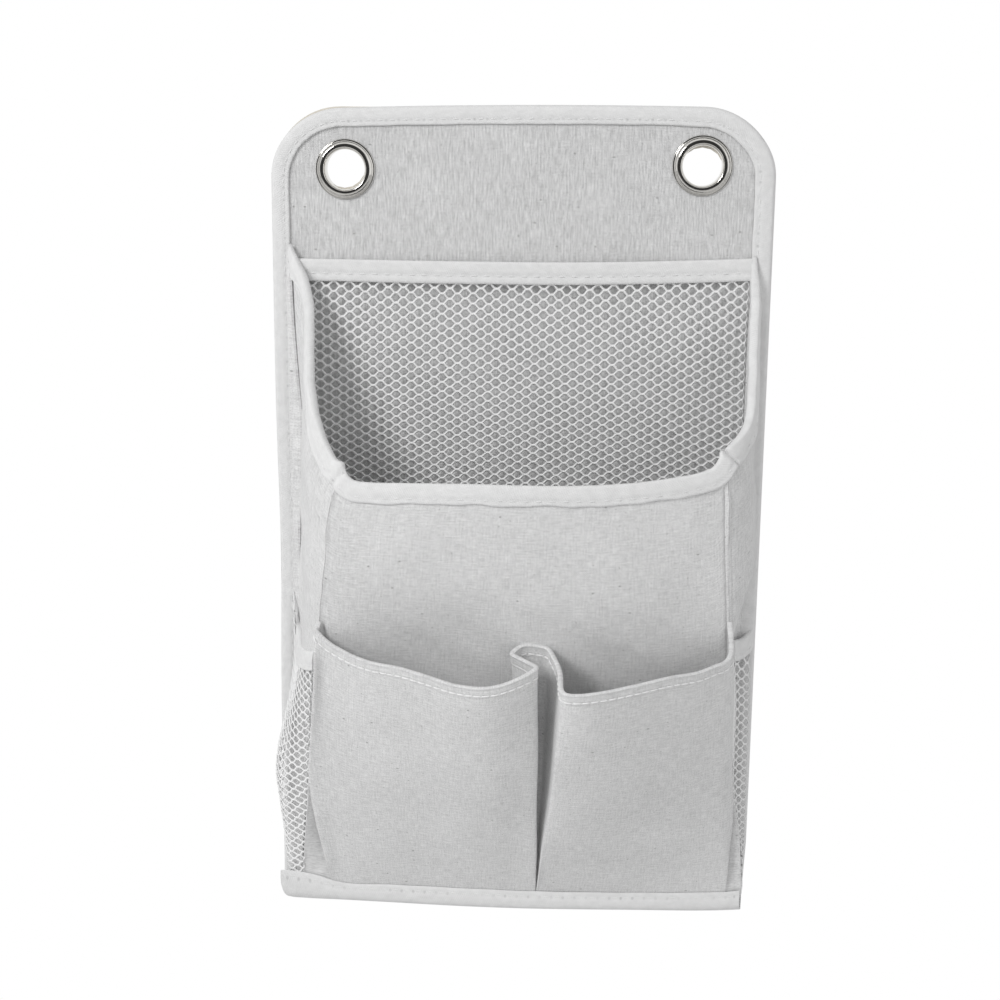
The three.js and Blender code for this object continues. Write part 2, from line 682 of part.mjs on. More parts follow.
const addCloth = (name, geometry) => add(name, geometry, COLOURS.pocketCloth, 0.95);
const addTape = (name, geometry) => add(name, geometry, COLOURS.white, 0.9);
const addNet = (name, geometry) => add(name, geometry, COLOURS.white, 0.8);
const addThread = (name, geometry) => add(name, geometry, COLOURS.white, 0.7);
const addMetal = (name, geometry) => add(name, geometry, COLOURS.nickel, 0.25, 1);

add('back_lining', panelLayer(liningRear, LINING_THICKNESS), COLOURS.cloth, 0.95);
add('stiffener_sheet', panelLayer(boardRear, BOARD_THICKNESS), COLOURS.board, 0.9);
add('back_face', panelLayer(faceRear, FACE_THICKNESS), COLOURS.cloth, 0.95);

addTape('edge_tape', tapeAlong(edgeFrames(), edgeTapeOutline(tapeFront, EDGE_TAPE_WIDTH)));
addTape('bottom_tape', tapeAlong(bottomFrames(), edgeTapeOutline(bottomTapeFront, BOTTOM_TAPE_WIDTH)));

for (const [label, side] of [['left', -1], ['right', 1]]) {
  addMetal(`${label}_eyelet`, eyelet()).position.x = side * xEyelet;
  addMetal(`${label}_eyelet_washer`, washer()).position.x = side * xEyelet;
}

addNet('net_panel', flatNet());
addTape('net_tape', tapeAlong(netFrames(),
  foldedTape(foldedNetHalf, foldedNetHalf, NET_TAPE_WIDTH, TAPE_THICKNESS, LAYER_GAP)));

addCloth('main_pocket_front', mainFront());
addTape('mouth_tape', tapeAlong(mouthFrames(),
  foldedTape(foldedHalf, foldedHalf, MOUTH_TAPE_WIDTH, TAPE_THICKNESS, LAYER_GAP)));
addCloth('front_pocket_panel', frontPockets());

for (const [label, side] of [['left', -1], ['right', 1]]) {
  addCloth(`${label}_gusset`, gusset(side));
  addNet(`${label}_side_net`, sideNet(side));
  addTape(`${label}_side_band`, tapeAlong(sideBandFrames(side),
    foldedTape(foldedNetHalf, foldedNetHalf, SIDE_BAND_WIDTH, TAPE_THICKNESS, LAYER_GAP)));
}

addThread('edge_thread', threadAlong(edgeFrames(),
  -tapeFront - threadLift, EDGE_TAPE_WIDTH - STITCH_INSET));
addThread('bottom_thread', threadAlong(bottomFrames(),
  -bottomTapeFront - threadLift, BOTTOM_TAPE_WIDTH - STITCH_INSET));
addThread('net_tape_thread', threadAlong(netFrames(),
  -foldedNetHalf - TAPE_THICKNESS - threadLift, NET_TAPE_WIDTH - STITCH_INSET));
addThread('mouth_thread', threadAlong(mouthFrames(),
  foldedHalf + TAPE_THICKNESS + threadLift, MOUTH_TAPE_WIDTH - STITCH_INSET));
addThread('hem_thread', threadAlong(hemFrames(), CLOTH_THICKNESS / 2 + threadLift, 0));
addThread('pleat_thread', threadAlong(pleatFrames(), CLOTH_THICKNESS / 2 + threadLift, 0));

export default organizer;
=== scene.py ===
"""Wall hanging storage organizer: looks for the cloth, tape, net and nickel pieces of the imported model.

All shapes are worked out in millimetres, in the model's own frame: X to the right, Y towards the wall, Z up,
with the origin on the wall midway between the eyelets. Meshes are written in metres.
"""
import math

import bpy
import numpy as np
from mathutils import Matrix


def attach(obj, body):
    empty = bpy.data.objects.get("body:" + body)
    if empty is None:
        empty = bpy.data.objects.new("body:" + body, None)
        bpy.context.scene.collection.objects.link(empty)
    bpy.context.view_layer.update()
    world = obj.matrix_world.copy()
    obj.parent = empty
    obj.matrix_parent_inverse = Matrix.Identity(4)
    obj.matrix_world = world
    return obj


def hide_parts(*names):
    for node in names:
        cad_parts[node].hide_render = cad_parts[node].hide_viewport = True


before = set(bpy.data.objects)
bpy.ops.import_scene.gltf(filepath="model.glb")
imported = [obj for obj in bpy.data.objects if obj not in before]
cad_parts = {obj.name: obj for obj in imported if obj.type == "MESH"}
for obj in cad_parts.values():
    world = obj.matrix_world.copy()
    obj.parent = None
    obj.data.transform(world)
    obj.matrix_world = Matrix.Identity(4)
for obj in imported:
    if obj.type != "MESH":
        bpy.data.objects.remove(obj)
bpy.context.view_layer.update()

MM = 0.001

# Back panel and its layers, as distances in front of the wall
HALF_WIDTH = 100.0
TOP = 24.0
BOTTOM = -316.0
CORNER_RADIUS = 28.0
LINING_MIDDLE = 2.0
FACE_MIDDLE = 4.9
FACE_FRONT = 5.4
TAPE_REAR = 0.75
TAPE_FRONT = 6.35
TAPE = 0.7
CLOTH = 0.8
LINING = 0.5
PANEL_INSET = 0.95

# Eyelets
EYELET_X = 71.0
EYELET_HOLE = 7.8
EYELET_RIM = 11.8
EYELET_BORE = 9.0  # hole in the cloth

# Tapes and stitches
EDGE_WIDTH = 7.6
BOTTOM_WIDTH = 7.4
NET_TAPE_WIDTH = 8.2
MOUTH_WIDTH = 7.4
BAND_WIDTH = 8.0
STITCH_INSET = 1.8
STITCH_PITCH = 5.0
NET_STITCH_INSET = 2.9
THREAD = 0.55
THREAD_SINK = 0.18  # how far a stitch lies in the cloth
THREAD_SEAT = 0.22  # how far a row of stitches lies in its tape
LEG_POINTS = 12  # points on each leg of a folded tape

# Heights
NET_TOP = -36.5
SEAM = -308.2
RIM = -117.0
FOOT = -303.2

# Six-sided net
NET_ACROSS = 6.25  # two columns of cells
NET_UP = 3.9  # from cell to cell in a column
NET_FLAT = 1.35  # flat upper side of a cell
STRAND = 1.05  # width of a slanting strand
KNOT = 1.3  # width where two cells stand above each other
STRAND_HALF = 0.34  # half the thickness at a crest
NET_REACH = 6.9  # distance in front of the wall
KNIT_TOP = -37.5  # upper edge of the flat knit
KNIT_EASE = 72.0  # how far down the knit is stretched

# Ways, and the two sides by name and sign
ROOM = (0.0, -1.0, 0.0)
UP = (0.0, 0.0, 1.0)
DOWN = (0.0, 0.0, -1.0)
SIDES = (("left", -1), ("right", 1))


# Curves and arrays

def spline(knots, values, at):
    """Cubic curve through the values at the knots, with finite-difference slopes, read at the places in at."""
    knots, values, at = (np.asarray(a, float) for a in (knots, values, at))
    slopes = np.gradient(values, knots, axis=0)
    i = np.clip(np.searchsorted(knots, at, side="right") - 1, 0, len(knots) - 2)
    step = knots[i + 1] - knots[i]
    t = (at - knots[i]) / step
    wide = t.shape + (1,) * (values.ndim - 1)
    t, step = t.reshape(wide), step.reshape(wide)
    return ((2 * t**3 - 3 * t**2 + 1) * values[i] + (t**3 - 2 * t**2 + t) * step * slopes[i]
            + (3 * t**2 - 2 * t**3) * values[i + 1] + (t**3 - t**2) * step * slopes[i + 1])


def lengths(points):
    """Running length along a row of points."""
    steps = np.linalg.norm(np.diff(points, axis=0), axis=-1)
    return np.concatenate([[0.0], np.cumsum(steps)])


def through(points, at):
    """Smooth curve through points, read at shares of its chord length from 0 to 1."""
    points = np.asarray(points, float)
    run = lengths(points)
    return spline(run / run[-1], points, at)


def along(points, values, places):
    """Values given at a row of points, read at places that are lengths along the row."""
    run = lengths(points)
    return np.stack([np.interp(places, run, values[:, k]) for k in range(values.shape[1])], -1)


def unit(vectors):
    return vectors / np.maximum(np.linalg.norm(vectors, axis=-1, keepdims=True), 1e-9)


def mix(a, b, t):
    return a + (b - a) * t


def softened(values, passes):
    """Values averaged with their two neighbours, a number of times, with the ends kept."""
    values = np.array(values, float)
    for _ in range(passes):
        values[1:-1] = values[:-2] / 4 + values[1:-1] / 2 + values[2:] / 4
    return values


def everywhere(way, points):
    """One way, repeated for each of a row of points."""
    return np.tile(way, (len(points), 1))


def ripples(p, q, waves, seed):
    """Sum of sine waves of the given lengths in scattered directions, about -1 to 1."""
    rng = np.random.default_rng(seed)
    total = 0.0
    for wave in waves:
        turn, shift = rng.uniform(0, 2 * math.pi, 2)
        total = total + np.sin(2 * math.pi * (p * math.cos(turn) + q * math.sin(turn)) / wave + shift)
    return total / len(waves)


def bell(values, middle, width):
    return np.exp(-(((values - middle) / width) ** 2))


def squeezed(values, low, high, margin=4.0):
    """Values kept as they are between two limits, and bent by a hyperbolic tangent so as not to pass them."""
    top, foot = high - margin, low + margin
    values = np.where(values > top, top + margin * np.tanh((values - high + margin) / margin), values)
    return np.where(values < foot, foot - margin * np.tanh((foot - values) / margin), values)


# Meshes

def piece(name, points, faces, material, uv=None, crease=50):
    """Object from points in millimetres and arrays of faces, each array with one number of corners."""
    used, index = np.unique(np.concatenate([f.ravel() for f in faces]), return_inverse=True)
    points = np.asarray(points, float)[used]
    sizes = np.concatenate([np.full(len(f), f.shape[1]) for f in faces])
    starts = np.concatenate([[0], np.cumsum(sizes)[:-1]])
    mesh = bpy.data.meshes.new(name)
    mesh.vertices.add(len(points))
    mesh.vertices.foreach_set("co", (points * MM).astype(np.float32).ravel())
    mesh.loops.add(len(index))
    mesh.loops.foreach_set("vertex_index", index.astype(np.int32))
    mesh.polygons.add(len(sizes))
    mesh.polygons.foreach_set("loop_start", starts.astype(np.int32))
    mesh.update(calc_edges=True)
    mesh.validate()
    if uv is not None:
        layer = mesh.uv_layers.new(name="cloth")
        places = np.asarray(uv, float)[used][index] * MM
        layer.data.foreach_set("uv", places.astype(np.float32).ravel())
    mesh.shade_smooth()
    mesh.set_sharp_from_angle(angle=math.radians(crease))
    mesh.materials.append(material)
    thing = bpy.data.objects.new(name, mesh)
    bpy.context.scene.collection.objects.link(thing)
    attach(thing, "root")
    return thing


def volume(points, faces):
    """Six times the signed volume inside the faces, counted in fans from each face's first corner."""
    total = 0.0
    for f in faces:
        for k in range(1, f.shape[1] - 1):
            a, b, c = points[f[:, 0]], points[f[:, k]], points[f[:, k + 1]]
            total += np.einsum("ij,ij->", a, np.cross(b, c))
    return total


def facing_out(points, faces):
    return faces if volume(points, faces) > 0 else [f[:, ::-1] for f in faces]


def normals(grid):
    """Unit normals of a grid of points, from its differences both ways."""
    return unit(np.cross(np.gradient(grid, axis=0), np.gradient(grid, axis=1)))


def grid_quads(rows, columns):
    index = np.arange(rows * columns).reshape(rows, columns)
    return np.stack([index[:-1, :-1], index[1:, :-1], index[1:, 1:], index[:-1, 1:]], -1).reshape(-1, 4)


def tube_quads(rows, columns):
    """Faces between rows of points that each close to a ring."""
    start, ring = np.arange(rows - 1)[:, None] * columns, np.arange(columns)
    a, b = start + ring, start + np.roll(ring, -1)
    return np.stack([a, b, b + columns, a + columns], -1).reshape(-1, 4)


def grid_lengths(grid):
    """Cloth coordinates of a grid: lengths along its middle row and its middle column."""
    rows, columns = grid.shape[:2]
    across = lengths(grid[rows // 2])
    down = lengths(grid[:, columns // 2])
    return np.stack(np.meshgrid(across, down, indexing="xy"), -1)


def cloth(name, grid, thickness, material, keep=None, uv=None):
    """Closed sheet: the grid moved out and in by half its thickness along the normals, with a rim on its edges.

    Only the squares in keep are made.
    """
    rows, columns = grid.shape[:2]
    count = rows * columns
    half = normals(grid) * np.broadcast_to(thickness, (rows, columns))[..., None] / 2
    points = np.concatenate([(grid + half).reshape(-1, 3), (grid - half).reshape(-1, 3)])
    quads = grid_quads(rows, columns)
    if keep is not None:
        quads = quads[keep.ravel()]
    edges = np.concatenate([quads[:, [k, (k + 1) % 4]] for k in range(4)])
    single = ~np.isin(edges[:, 0] * count + edges[:, 1], edges[:, 1] * count + edges[:, 0])
    p, q = edges[single].T
    rim = np.stack([q, p, p + count, q + count], -1)
    flat = (grid_lengths(grid) if uv is None else uv).reshape(-1, 2)
    faces = facing_out(points, [quads, quads[:, ::-1] + count, rim])
    return piece(name, points, faces, material, np.concatenate([flat, flat]))


def tape_section(front, rear, width, pillow, inset=STITCH_INSET):
    """Outline of a tape folded over an edge, as places across (positive in front) and down.

    Its middle line runs up the front leg, over the fold in a half circle and down the rear leg; the outline is
    that line moved out and in by half the tape's thickness. Lengths along the line count from the row of stitches.
    """
    middle, radius = (front - rear) / 2, (front + rear) / 2
    fold = radius * 0.6
    leg = np.linspace(0, 1, LEG_POINTS)
    turn = np.linspace(0, math.pi, 11)[1:-1]
    up = np.stack([front + pillow * np.sin(math.pi * leg), mix(width, fold, leg)], -1)
    over = np.stack([middle + radius * np.cos(turn), fold * (1 - np.sin(turn))], -1)
    down = np.stack([np.full(LEG_POINTS, -rear), mix(fold, width, leg)], -1)
    line = np.concatenate([up, over, down])
    run = lengths(line) - inset
    ways = unit(np.gradient(line, axis=0))
    side = np.stack([ways[:, 1], -ways[:, 0]], -1) * TAPE / 2
    tips = line[[0, -1]] + ways[[0, -1]] * np.array([[-0.5], [0.5]]) * TAPE
    outline = np.concatenate([line + side, tips[1:], (line - side)[::-1], tips[:1]])
    return outline, np.concatenate([run, run[-1:], run[::-1], run[:1]])


def loft(name, centres, across, down, section, material):
    """Outline carried along a path: centre + across way times across place + down way times down place."""
    outline, girth = section
    outline = np.broadcast_to(outline, (len(centres),) + outline.shape[-2:])
    grid = centres[:, None] + across[:, None] * outline[..., :1] + down[:, None] * outline[..., 1:]
    rows, columns = grid.shape[:2]
    points = grid.reshape(-1, 3)
    ring = np.arange(columns)
    faces = [tube_quads(rows, columns), ring[::-1][None], ring[None] + (rows - 1) * columns]
    uv = np.stack(np.broadcast_arrays(girth[None], lengths(centres)[:, None]), -1).reshape(-1, 2)
    return piece(name, points, facing_out(points, faces), material, uv)


def stitches(name, places, ways, outs, material, length=3.3, diameter=THREAD):
    """Row of stitches: short threads bent down at both ends, one at each place, along the ways.

    A thread is five six-sided rings on a low arch: height falls with the fourth power of the share along it.
    """
    rings, corners = 5, 6
    share = np.linspace(-1, 1, rings)
    turn = np.arange(corners) * math.pi / 3
    size = (np.array([0.55, 0.95, 1.0, 0.95, 0.55]) * diameter / 2)[:, None]
    height = diameter / 2 - THREAD_SINK - 0.55 * share**4
    local = np.stack(np.broadcast_arrays(
        (share * length / 2)[:, None], height[:, None] + size * np.sin(turn), size * np.cos(turn)), -1)
    axes = np.stack([ways, outs, unit(np.cross(outs, ways))], 1)
    points = (places[:, None] + np.einsum("kc,ncd->nkd", local.reshape(-1, 3), axes)).reshape(-1, 3)
    ring = np.arange(corners)
    caps = np.stack([ring[::-1], ring + (rings - 1) * corners])
    offset = np.arange(len(places))[:, None, None] * rings * corners
    faces = [(tube_quads(rings, corners) + offset).reshape(-1, 4), (caps + offset).reshape(-1, corners)]
    return piece(name, points, facing_out(points, faces), material, crease=80)


def six_sided_net(name, low, high, place, material, held):
    """Net of six-sided cells in staggered columns over a flat field from low to high, put on a surface.

    A strand swells from the rounded hole of a cell to a crest on the cell's border, in front and behind, and is
    thicker where two cells stand above each other; place gives the point and the normal of the surface for flat
    coordinates, and held says which cells are kept.
    """
    columns = np.arange(math.floor(low[0] / NET_ACROSS * 2), math.ceil(high[0] / NET_ACROSS * 2) + 1)
    rows = np.arange(math.floor(low[1] / NET_UP) - 1, math.ceil(high[1] / NET_UP) + 2)
    i, j = np.meshgrid(columns, rows, indexing="ij")
    centre = np.stack([i * NET_ACROSS / 2, j * NET_UP + (i % 2) * NET_UP / 2], -1).reshape(-1, 2)
    flat, point = NET_FLAT / 2, NET_ACROSS / 2 - NET_FLAT / 2
    half = NET_UP / 2
    border = np.array([[point, 0], [flat, half], [-flat, half], [-point, 0], [-flat, -half], [flat, -half]])
    inside = np.all((centre - [point, half] >= low) & (centre + [point, half] <= high), -1)
    centre = centre[inside & held(centre)]
    following = np.roll(border, -1, 0)
    thick = np.array([STRAND, KNOT, STRAND, STRAND, KNOT, STRAND])[:, None]
    inward = unit(np.stack([-(following - border)[:, 1], (following - border)[:, 0]], -1)) * thick / 2
    near, far = mix(border, following, 0.17) + inward, mix(border, following, 0.83) + inward
    corners = (centre[:, None] + border).reshape(-1, 2)
    key = np.round(corners * 50).astype(np.int64)
    _, first, number = np.unique(key, axis=0, return_index=True, return_inverse=True)
    number = number.reshape(-1, 6)
    crest = corners[first]
    hole = (centre[:, None] + np.stack([near, far], 1).reshape(12, 2)).reshape(-1, 2)
    crest_at, crest_out = place(crest)
    hole_at, _ = place(hole)
    count = len(crest)
    points = np.concatenate([crest_at + crest_out * STRAND_HALF, crest_at - crest_out * STRAND_HALF, hole_at])
    hole_shade = 2 * count + np.arange(len(hole)).reshape(-1, 6, 2)
    k, after = number, np.roll(number, -1, 1)
    bars = np.stack([k, after, hole_shade[..., 1], hole_shade[..., 0]], -1).reshape(-1, 4)
    knees = np.stack([k, hole_shade[..., 0], np.roll(hole_shade[..., 1], 1, 1)], -1).reshape(-1, 3)
    rear_bars = np.stack([k + count, hole_shade[..., 0], hole_shade[..., 1], after + count], -1).reshape(-1, 4)
    rear_knees = np.stack([k + count, np.roll(hole_shade[..., 1], 1, 1), hole_shade[..., 0]], -1).reshape(-1, 3)
    return piece(name, points, [bars, rear_bars, knees, rear_knees], material, crease=180)


def turned(name, x, z, profile, material, steps=96):
    """Closed profile of radius and distance from the wall, turned about the axis of an eyelet."""
    angle = np.arange(steps) * 2 * math.pi / steps
    radius, reach = np.asarray(profile, float).T
    grid = np.stack(np.broadcast_arrays(
        x + radius * np.cos(angle)[:, None], -reach, z + radius * np.sin(angle)[:, None]), -1)
    columns = len(radius)
    ring = np.arange(steps)[:, None] * columns
    following = np.roll(ring, -1, 0)
    k, after = np.arange(columns), np.roll(np.arange(columns), -1)
    quads = np.stack([ring + k, ring + after, following + after, following + k], -1).reshape(-1, 4)
    points = grid.reshape(-1, 3)
    return piece(name, points, facing_out(points, [quads]), material, crease=35)


# Materials

def linear(code):
    """Linear colour of an sRGB hex code."""
    part = np.array([int(code[k:k + 2], 16) for k in (1, 3, 5)]) / 255
    return tuple(np.where(part <= 0.04045, part / 12.92, ((part + 0.055) / 1.055) ** 2.4)) + (1.0,)


def node(tree, kind, inputs=None, **settings):
    """Adds a node with its settings; an input is a plain value or the output that it is linked to."""
    made = tree.nodes.new(kind)
    for name, value in settings.items():
        setattr(made, name, value)
    for name, value in (inputs or {}).items():
        if isinstance(value, bpy.types.NodeSocket):
            tree.links.new(value, made.inputs[name])
        else:
            made.inputs[name].default_value = value
    return made


def new_material(name):
    material = bpy.data.materials.new(name)
    material.use_nodes = True
    material.node_tree.nodes.clear()
    return material, material.node_tree


def maths(tree, operation, *values):
    return node(tree, "ShaderNodeMath", dict(enumerate(values)), operation=operation).outputs[0]


def noise(tree, vector, scale, detail, roughness=0.5, flat=False):
    return node(tree, "ShaderNodeTexNoise", {
        "Vector": vector, "Scale": scale, "Detail": detail, "Roughness": roughness},
        noise_dimensions="2D" if flat else "3D").outputs["Fac"]


def blend(tree, factor, first, second):
    """Colour between two colours, each a hex code or an output."""
    ends = [linear(c) if isinstance(c, str) else c for c in (first, second)]
    return node(tree, "ShaderNodeMix", {"Factor": factor, "A": ends[0], "B": ends[1]},
                data_type="RGBA", clamp_factor=True).outputs["Result"]


def ranged(tree, value, low, high, start=0.0, end=1.0):
    """Value carried from the range start to end to the range low to high, and kept inside that."""
    return node(tree, "ShaderNodeMapRange", {
        "Value": value, "From Min": start, "From Max": end, "To Min": low, "To Max": high}).outputs["Result"]


def placed(tree, vector, scale, **inputs):
    return node(tree, "ShaderNodeMapping", {"Vector": vector, "Scale": scale + (1,), **inputs}).outputs[0]


def parted(tree, vector):
    return node(tree, "ShaderNodeSeparateXYZ", {"Vector": vector}).outputs


def bumped(tree, height, strength, distance):
    return node(tree, "ShaderNodeBump", {
        "Height": height, "Strength": strength, "Distance": distance}).outputs[0]


def finished(material, inputs):
    """Material with a surface that has these inputs."""
    surface = node(material.node_tree, "ShaderNodeBsdfPrincipled", inputs)
    node(material.node_tree, "ShaderNodeOutputMaterial", {"Surface": surface.outputs[0]})
    return material


def linen(name, dark, light, lengthwise, crosswise):
    """Cotton-linen plain weave in a pale grey: uneven yarns show as fine streaks both ways, with a rare darker
    slub, and the crossing yarns as a fine grid. The grid is drawn at 0.9 mm, twice the real yarn spacing, because
    the real one is too fine to show."""
    material, tree = new_material(name)
    uv = node(tree, "ShaderNodeUVMap", uv_map="cloth").outputs["UV"]

    def streaks(across_mm, along_mm, detail):
        place = placed(tree, uv, (1 / (across_mm * MM), 1 / (along_mm * MM)))
        return noise(tree, place, 1.0, detail, 0.6, True)

    warp, weft = streaks(0.65, 5.5, 2), streaks(5, 0.6, 2)
    grain = streaks(0.55, 0.55, 1)
    slub = streaks(2.2, 1.3, 0)
    blotch = streaks(28, 28, 1)
    place = parted(tree, placed(tree, uv, (2 * math.pi / (0.9 * MM),) * 2))
    weave = maths(tree, "MULTIPLY", maths(tree, "SINE", place["X"]), maths(tree, "SINE", place["Y"]))
    tone = 0.5
    for value, middle, amount in ((warp, 0.5, lengthwise), (weft, 0.5, crosswise), (blotch, 0.5, 0.2),
                                  (grain, 0.5, 0.7), (weave, 0.0, 0.1)):
        tone = maths(tree, "MULTIPLY_ADD", maths(tree, "SUBTRACT", value, middle), amount, tone)
    fleck = ranged(tree, slub, 0.0, 0.6, 0.89, 0.92)
    height = maths(tree, "MULTIPLY_ADD", weave, 0.35, maths(tree, "ADD", warp, weft))
    return finished(material, {
        "Base Color": blend(tree, fleck, blend(tree, tone, dark, light), "#7c7c7a"),
        "Roughness": 0.92, "Specular IOR Level": 0.25, "Sheen Weight": 0.12, "Sheen Roughness": 0.6,
        "Normal": bumped(tree, height, 0.35, 0.00016)})


def twill_tape(name, dark, light, hole_shade):
    """White polyester-cotton binding tape: fine ribs across it, drawn at 0.8 mm, soft pressed mottling, and between
    each two stitches a small grey spot of painted shade for the shadow inside a needle hole, as strong as the last
    argument says and fainter in some stretches. Its cloth coordinates start at the row of stitches."""
    material, tree = new_material(name)
    uv = node(tree, "ShaderNodeUVMap", uv_map="cloth").outputs["UV"]
    mottle = noise(tree, placed(tree, uv, (1 / (2.6 * MM), 1 / (4 * MM))), 1.0, 3.0, 0.6, True)
    ribs = placed(tree, uv, (2 * math.pi / (0.8 * MM),) * 2, Rotation=(0, 0, 0.5))
    rib = maths(tree, "SINE", parted(tree, ribs)["Y"])
    # Painted shade: a round grey spot midway between each two stitches, darkest at its middle, for the shadow
    # inside a needle hole; the bump sinks it a little too
    flat = parted(tree, uv)
    onward = maths(tree, "SUBTRACT", flat["Y"], 0.1 * STITCH_PITCH * MM)
    onward = maths(tree, "PINGPONG", onward, STITCH_PITCH / 2 * MM)
    away = node(tree, "ShaderNodeVectorMath", {0: node(tree, "ShaderNodeCombineXYZ", {
        "X": flat["X"], "Y": onward}).outputs[0]}, operation="LENGTH").outputs["Value"]
    stretch = noise(tree, uv, 1 / (24 * MM), 2.0, flat=True)
    shade = maths(tree, "MULTIPLY", ranged(tree, away, 1.0, 0.0, 0.3 * MM, 0.8 * MM),
                  ranged(tree, stretch, 0.1 * hole_shade, hole_shade, 0.42, 0.62))
    height = maths(tree, "MULTIPLY_ADD", rib, 0.25, mottle)
    height = maths(tree, "MULTIPLY_ADD", shade, -1.2, height)
    return finished(material, {
        "Base Color": blend(tree, shade, blend(tree, mottle, dark, light), "#8a8a8a"),
        "Roughness": 0.8, "Specular IOR Level": 0.3, "Sheen Weight": 0.1, "Sheen Roughness": 0.5,
        "Normal": bumped(tree, height, 0.4, 0.0003)})


def cloudy(name, scale, detail):
    """New material, its nodes, and a cloudy value all over the object."""
    material, tree = new_material(name)
    return material, tree, noise(tree, node(tree, "ShaderNodeTexCoord").outputs["Object"], scale, detail)


def knitted_yarn(name, dark, light, grain_mm):
    """White polyester yarn, knitted or sewn: a soft sheen over filaments that show as fine uneven grain."""
    material, tree, grain = cloudy(name, 1 / (grain_mm * MM), 2.0)
    return finished(material, {
        "Base Color": blend(tree, grain, dark, light), "Roughness": 0.55, "Specular IOR Level": 0.4,
        "Sheen Weight": 0.1, "Normal": bumped(tree, grain, 0.4, 0.0002)})


def nickel_plate(name):
    """Pressed steel with polished nickel plating: a warm mirror with faint cloudy polishing marks."""
    material, tree, marks = cloudy(name, 1 / (1.6 * MM), 3.0)
    return finished(material, {
        "Base Color": blend(tree, marks, "#cfcdc8", "#dddbd7"), "Metallic": 1.0,
        "Roughness": ranged(tree, marks, 0.05, 0.16)})


def stiff_board(name):
    """Extruded polypropylene sheet, off-white and slightly cloudy, with a dull pressed surface."""
    material, tree, cloud = cloudy(name, 1 / (9 * MM), 2.0)
    return finished(material, {
        "Base Color": blend(tree, cloud, "#cfc9bd", "#dcd7cc"), "Roughness": 0.6, "IOR": 1.49})


def matte_floor(name):
    """Painted floor board, pale and matte, with a faint uneven sheen."""
    material, tree, cloud = cloudy(name, 3.0, 2.0)
    return finished(material, {"Base Color": linear("#e6e6e6"), "Roughness": ranged(tree, cloud, 0.7, 0.9)})


back_cloth = linen("linen_back", "#a8a8a8", "#ebebeb", 1.0, 0.35)
pocket_cloth = linen("linen_pocket", "#bbbbbb", "#f0f0f0", 0.6, 0.75)
white_tape = twill_tape("twill_tape_white", "#d6d6d6", "#e9e9e9", 0.32)
pocket_tape = twill_tape("twill_tape_pockets", "#d8d8d8", "#ebebeb", 0.0)
white_net = knitted_yarn("net_yarn_white", "#e6e6e6", "#f8f8f8", 0.5)
white_thread = knitted_yarn("sewing_thread_white", "#d9d9d9", "#ececec", 0.3)
hem_thread = knitted_yarn("sewing_thread_hem", "#e8e8e8", "#f6f6f6", 0.3)
nickel = nickel_plate("nickel_plate")
board = stiff_board("polypropylene_board")


# Back panel

def hang(x, z):
    """Lift of the upper panel, which hangs a little askew: it grows with x above the net, a parabola bows the top
    edge, and the right corner droops."""
    rise = np.clip((z + 60) / 60, 0, 1)
    droop = 0.9 * np.clip((x - 68) / 26, 0, 1) ** 2 * np.clip((z + 15) / 25, 0, 1)
    return -droop + 0.0115 * x * rise**2 * (3 - 2 * rise) - 0.00016 * x**2 * np.clip(z / TOP, 0, 1)


def panel_half_width(z, inset):
    """Half width of the panel at a height: straight sides, and quarter circles at the top corners."""
    radius = CORNER_RADIUS - inset
    high = np.clip(z - (TOP - CORNER_RADIUS), 0, radius)
    return HALF_WIDTH - CORNER_RADIUS + np.sqrt(np.maximum(radius**2 - high**2, 0))


def panel_sheet(name, middle, thickness, seed):
    """Flat sheet across the panel: x is a share of the half width at each height, and the cloth ripples a little.

    Squares inside an eyelet's bore are left out, and points on the bore's edge are pushed out to its circle.
    """
    z = np.linspace(BOTTOM + PANEL_INSET, TOP - PANEL_INSET, 170)[:, None]
    x = np.linspace(-1, 1, 100) * panel_half_width(z, PANEL_INSET)
    z = np.broadcast_to(z, x.shape)
    centre_x, centre_z = (np.stack([a[:-1, :-1], a[1:, :-1], a[1:, 1:], a[:-1, 1:]]).mean(0) for a in (x, z))
    keep = np.hypot(np.abs(centre_x) - EYELET_X, centre_z) > EYELET_BORE
    side = np.sign(x) * EYELET_X
    away = np.hypot(x - side, z)
    push = np.where(away < EYELET_BORE, EYELET_BORE / np.maximum(away, 1e-6), 1.0)
    x, z = side + (x - side) * push, z * push
    z = z + hang(x, z)
    y = -middle - 0.12 * ripples(x, z, (46, 71, 33, 90), seed)
    return cloth(name, np.stack([x, y, z], -1), thickness, back_cloth, keep, np.stack([x, z], -1))


panel_face = panel_sheet("panel_face", FACE_MIDDLE, CLOTH, 3)
panel_lining = panel_sheet("panel_lining", LINING_MIDDLE, LINING, 5)


# Tapes of the panel

def edge_path():
    """Outer edge of the panel from the lower left corner up, around the top and down again."""
    turn = np.linspace(0, math.pi / 2, 40)
    centre = TOP - CORNER_RADIUS
    rise = np.linspace(SEAM - 1, centre, 300)[:-1]
    top = np.linspace(-HALF_WIDTH + CORNER_RADIUS, HALF_WIDTH - CORNER_RADIUS, 160)[1:-1]
    arc_x = HALF_WIDTH - CORNER_RADIUS + CORNER_RADIUS * np.cos(turn)
    arc_z = centre + CORNER_RADIUS * np.sin(turn)
    side = np.stack([np.full_like(rise, HALF_WIDTH), rise], -1)
    right = np.concatenate([side, np.stack([arc_x, arc_z], -1)])
    return np.concatenate([right * [-1, 1], np.stack([top, np.full_like(top, TOP)], -1), right[::-1]])


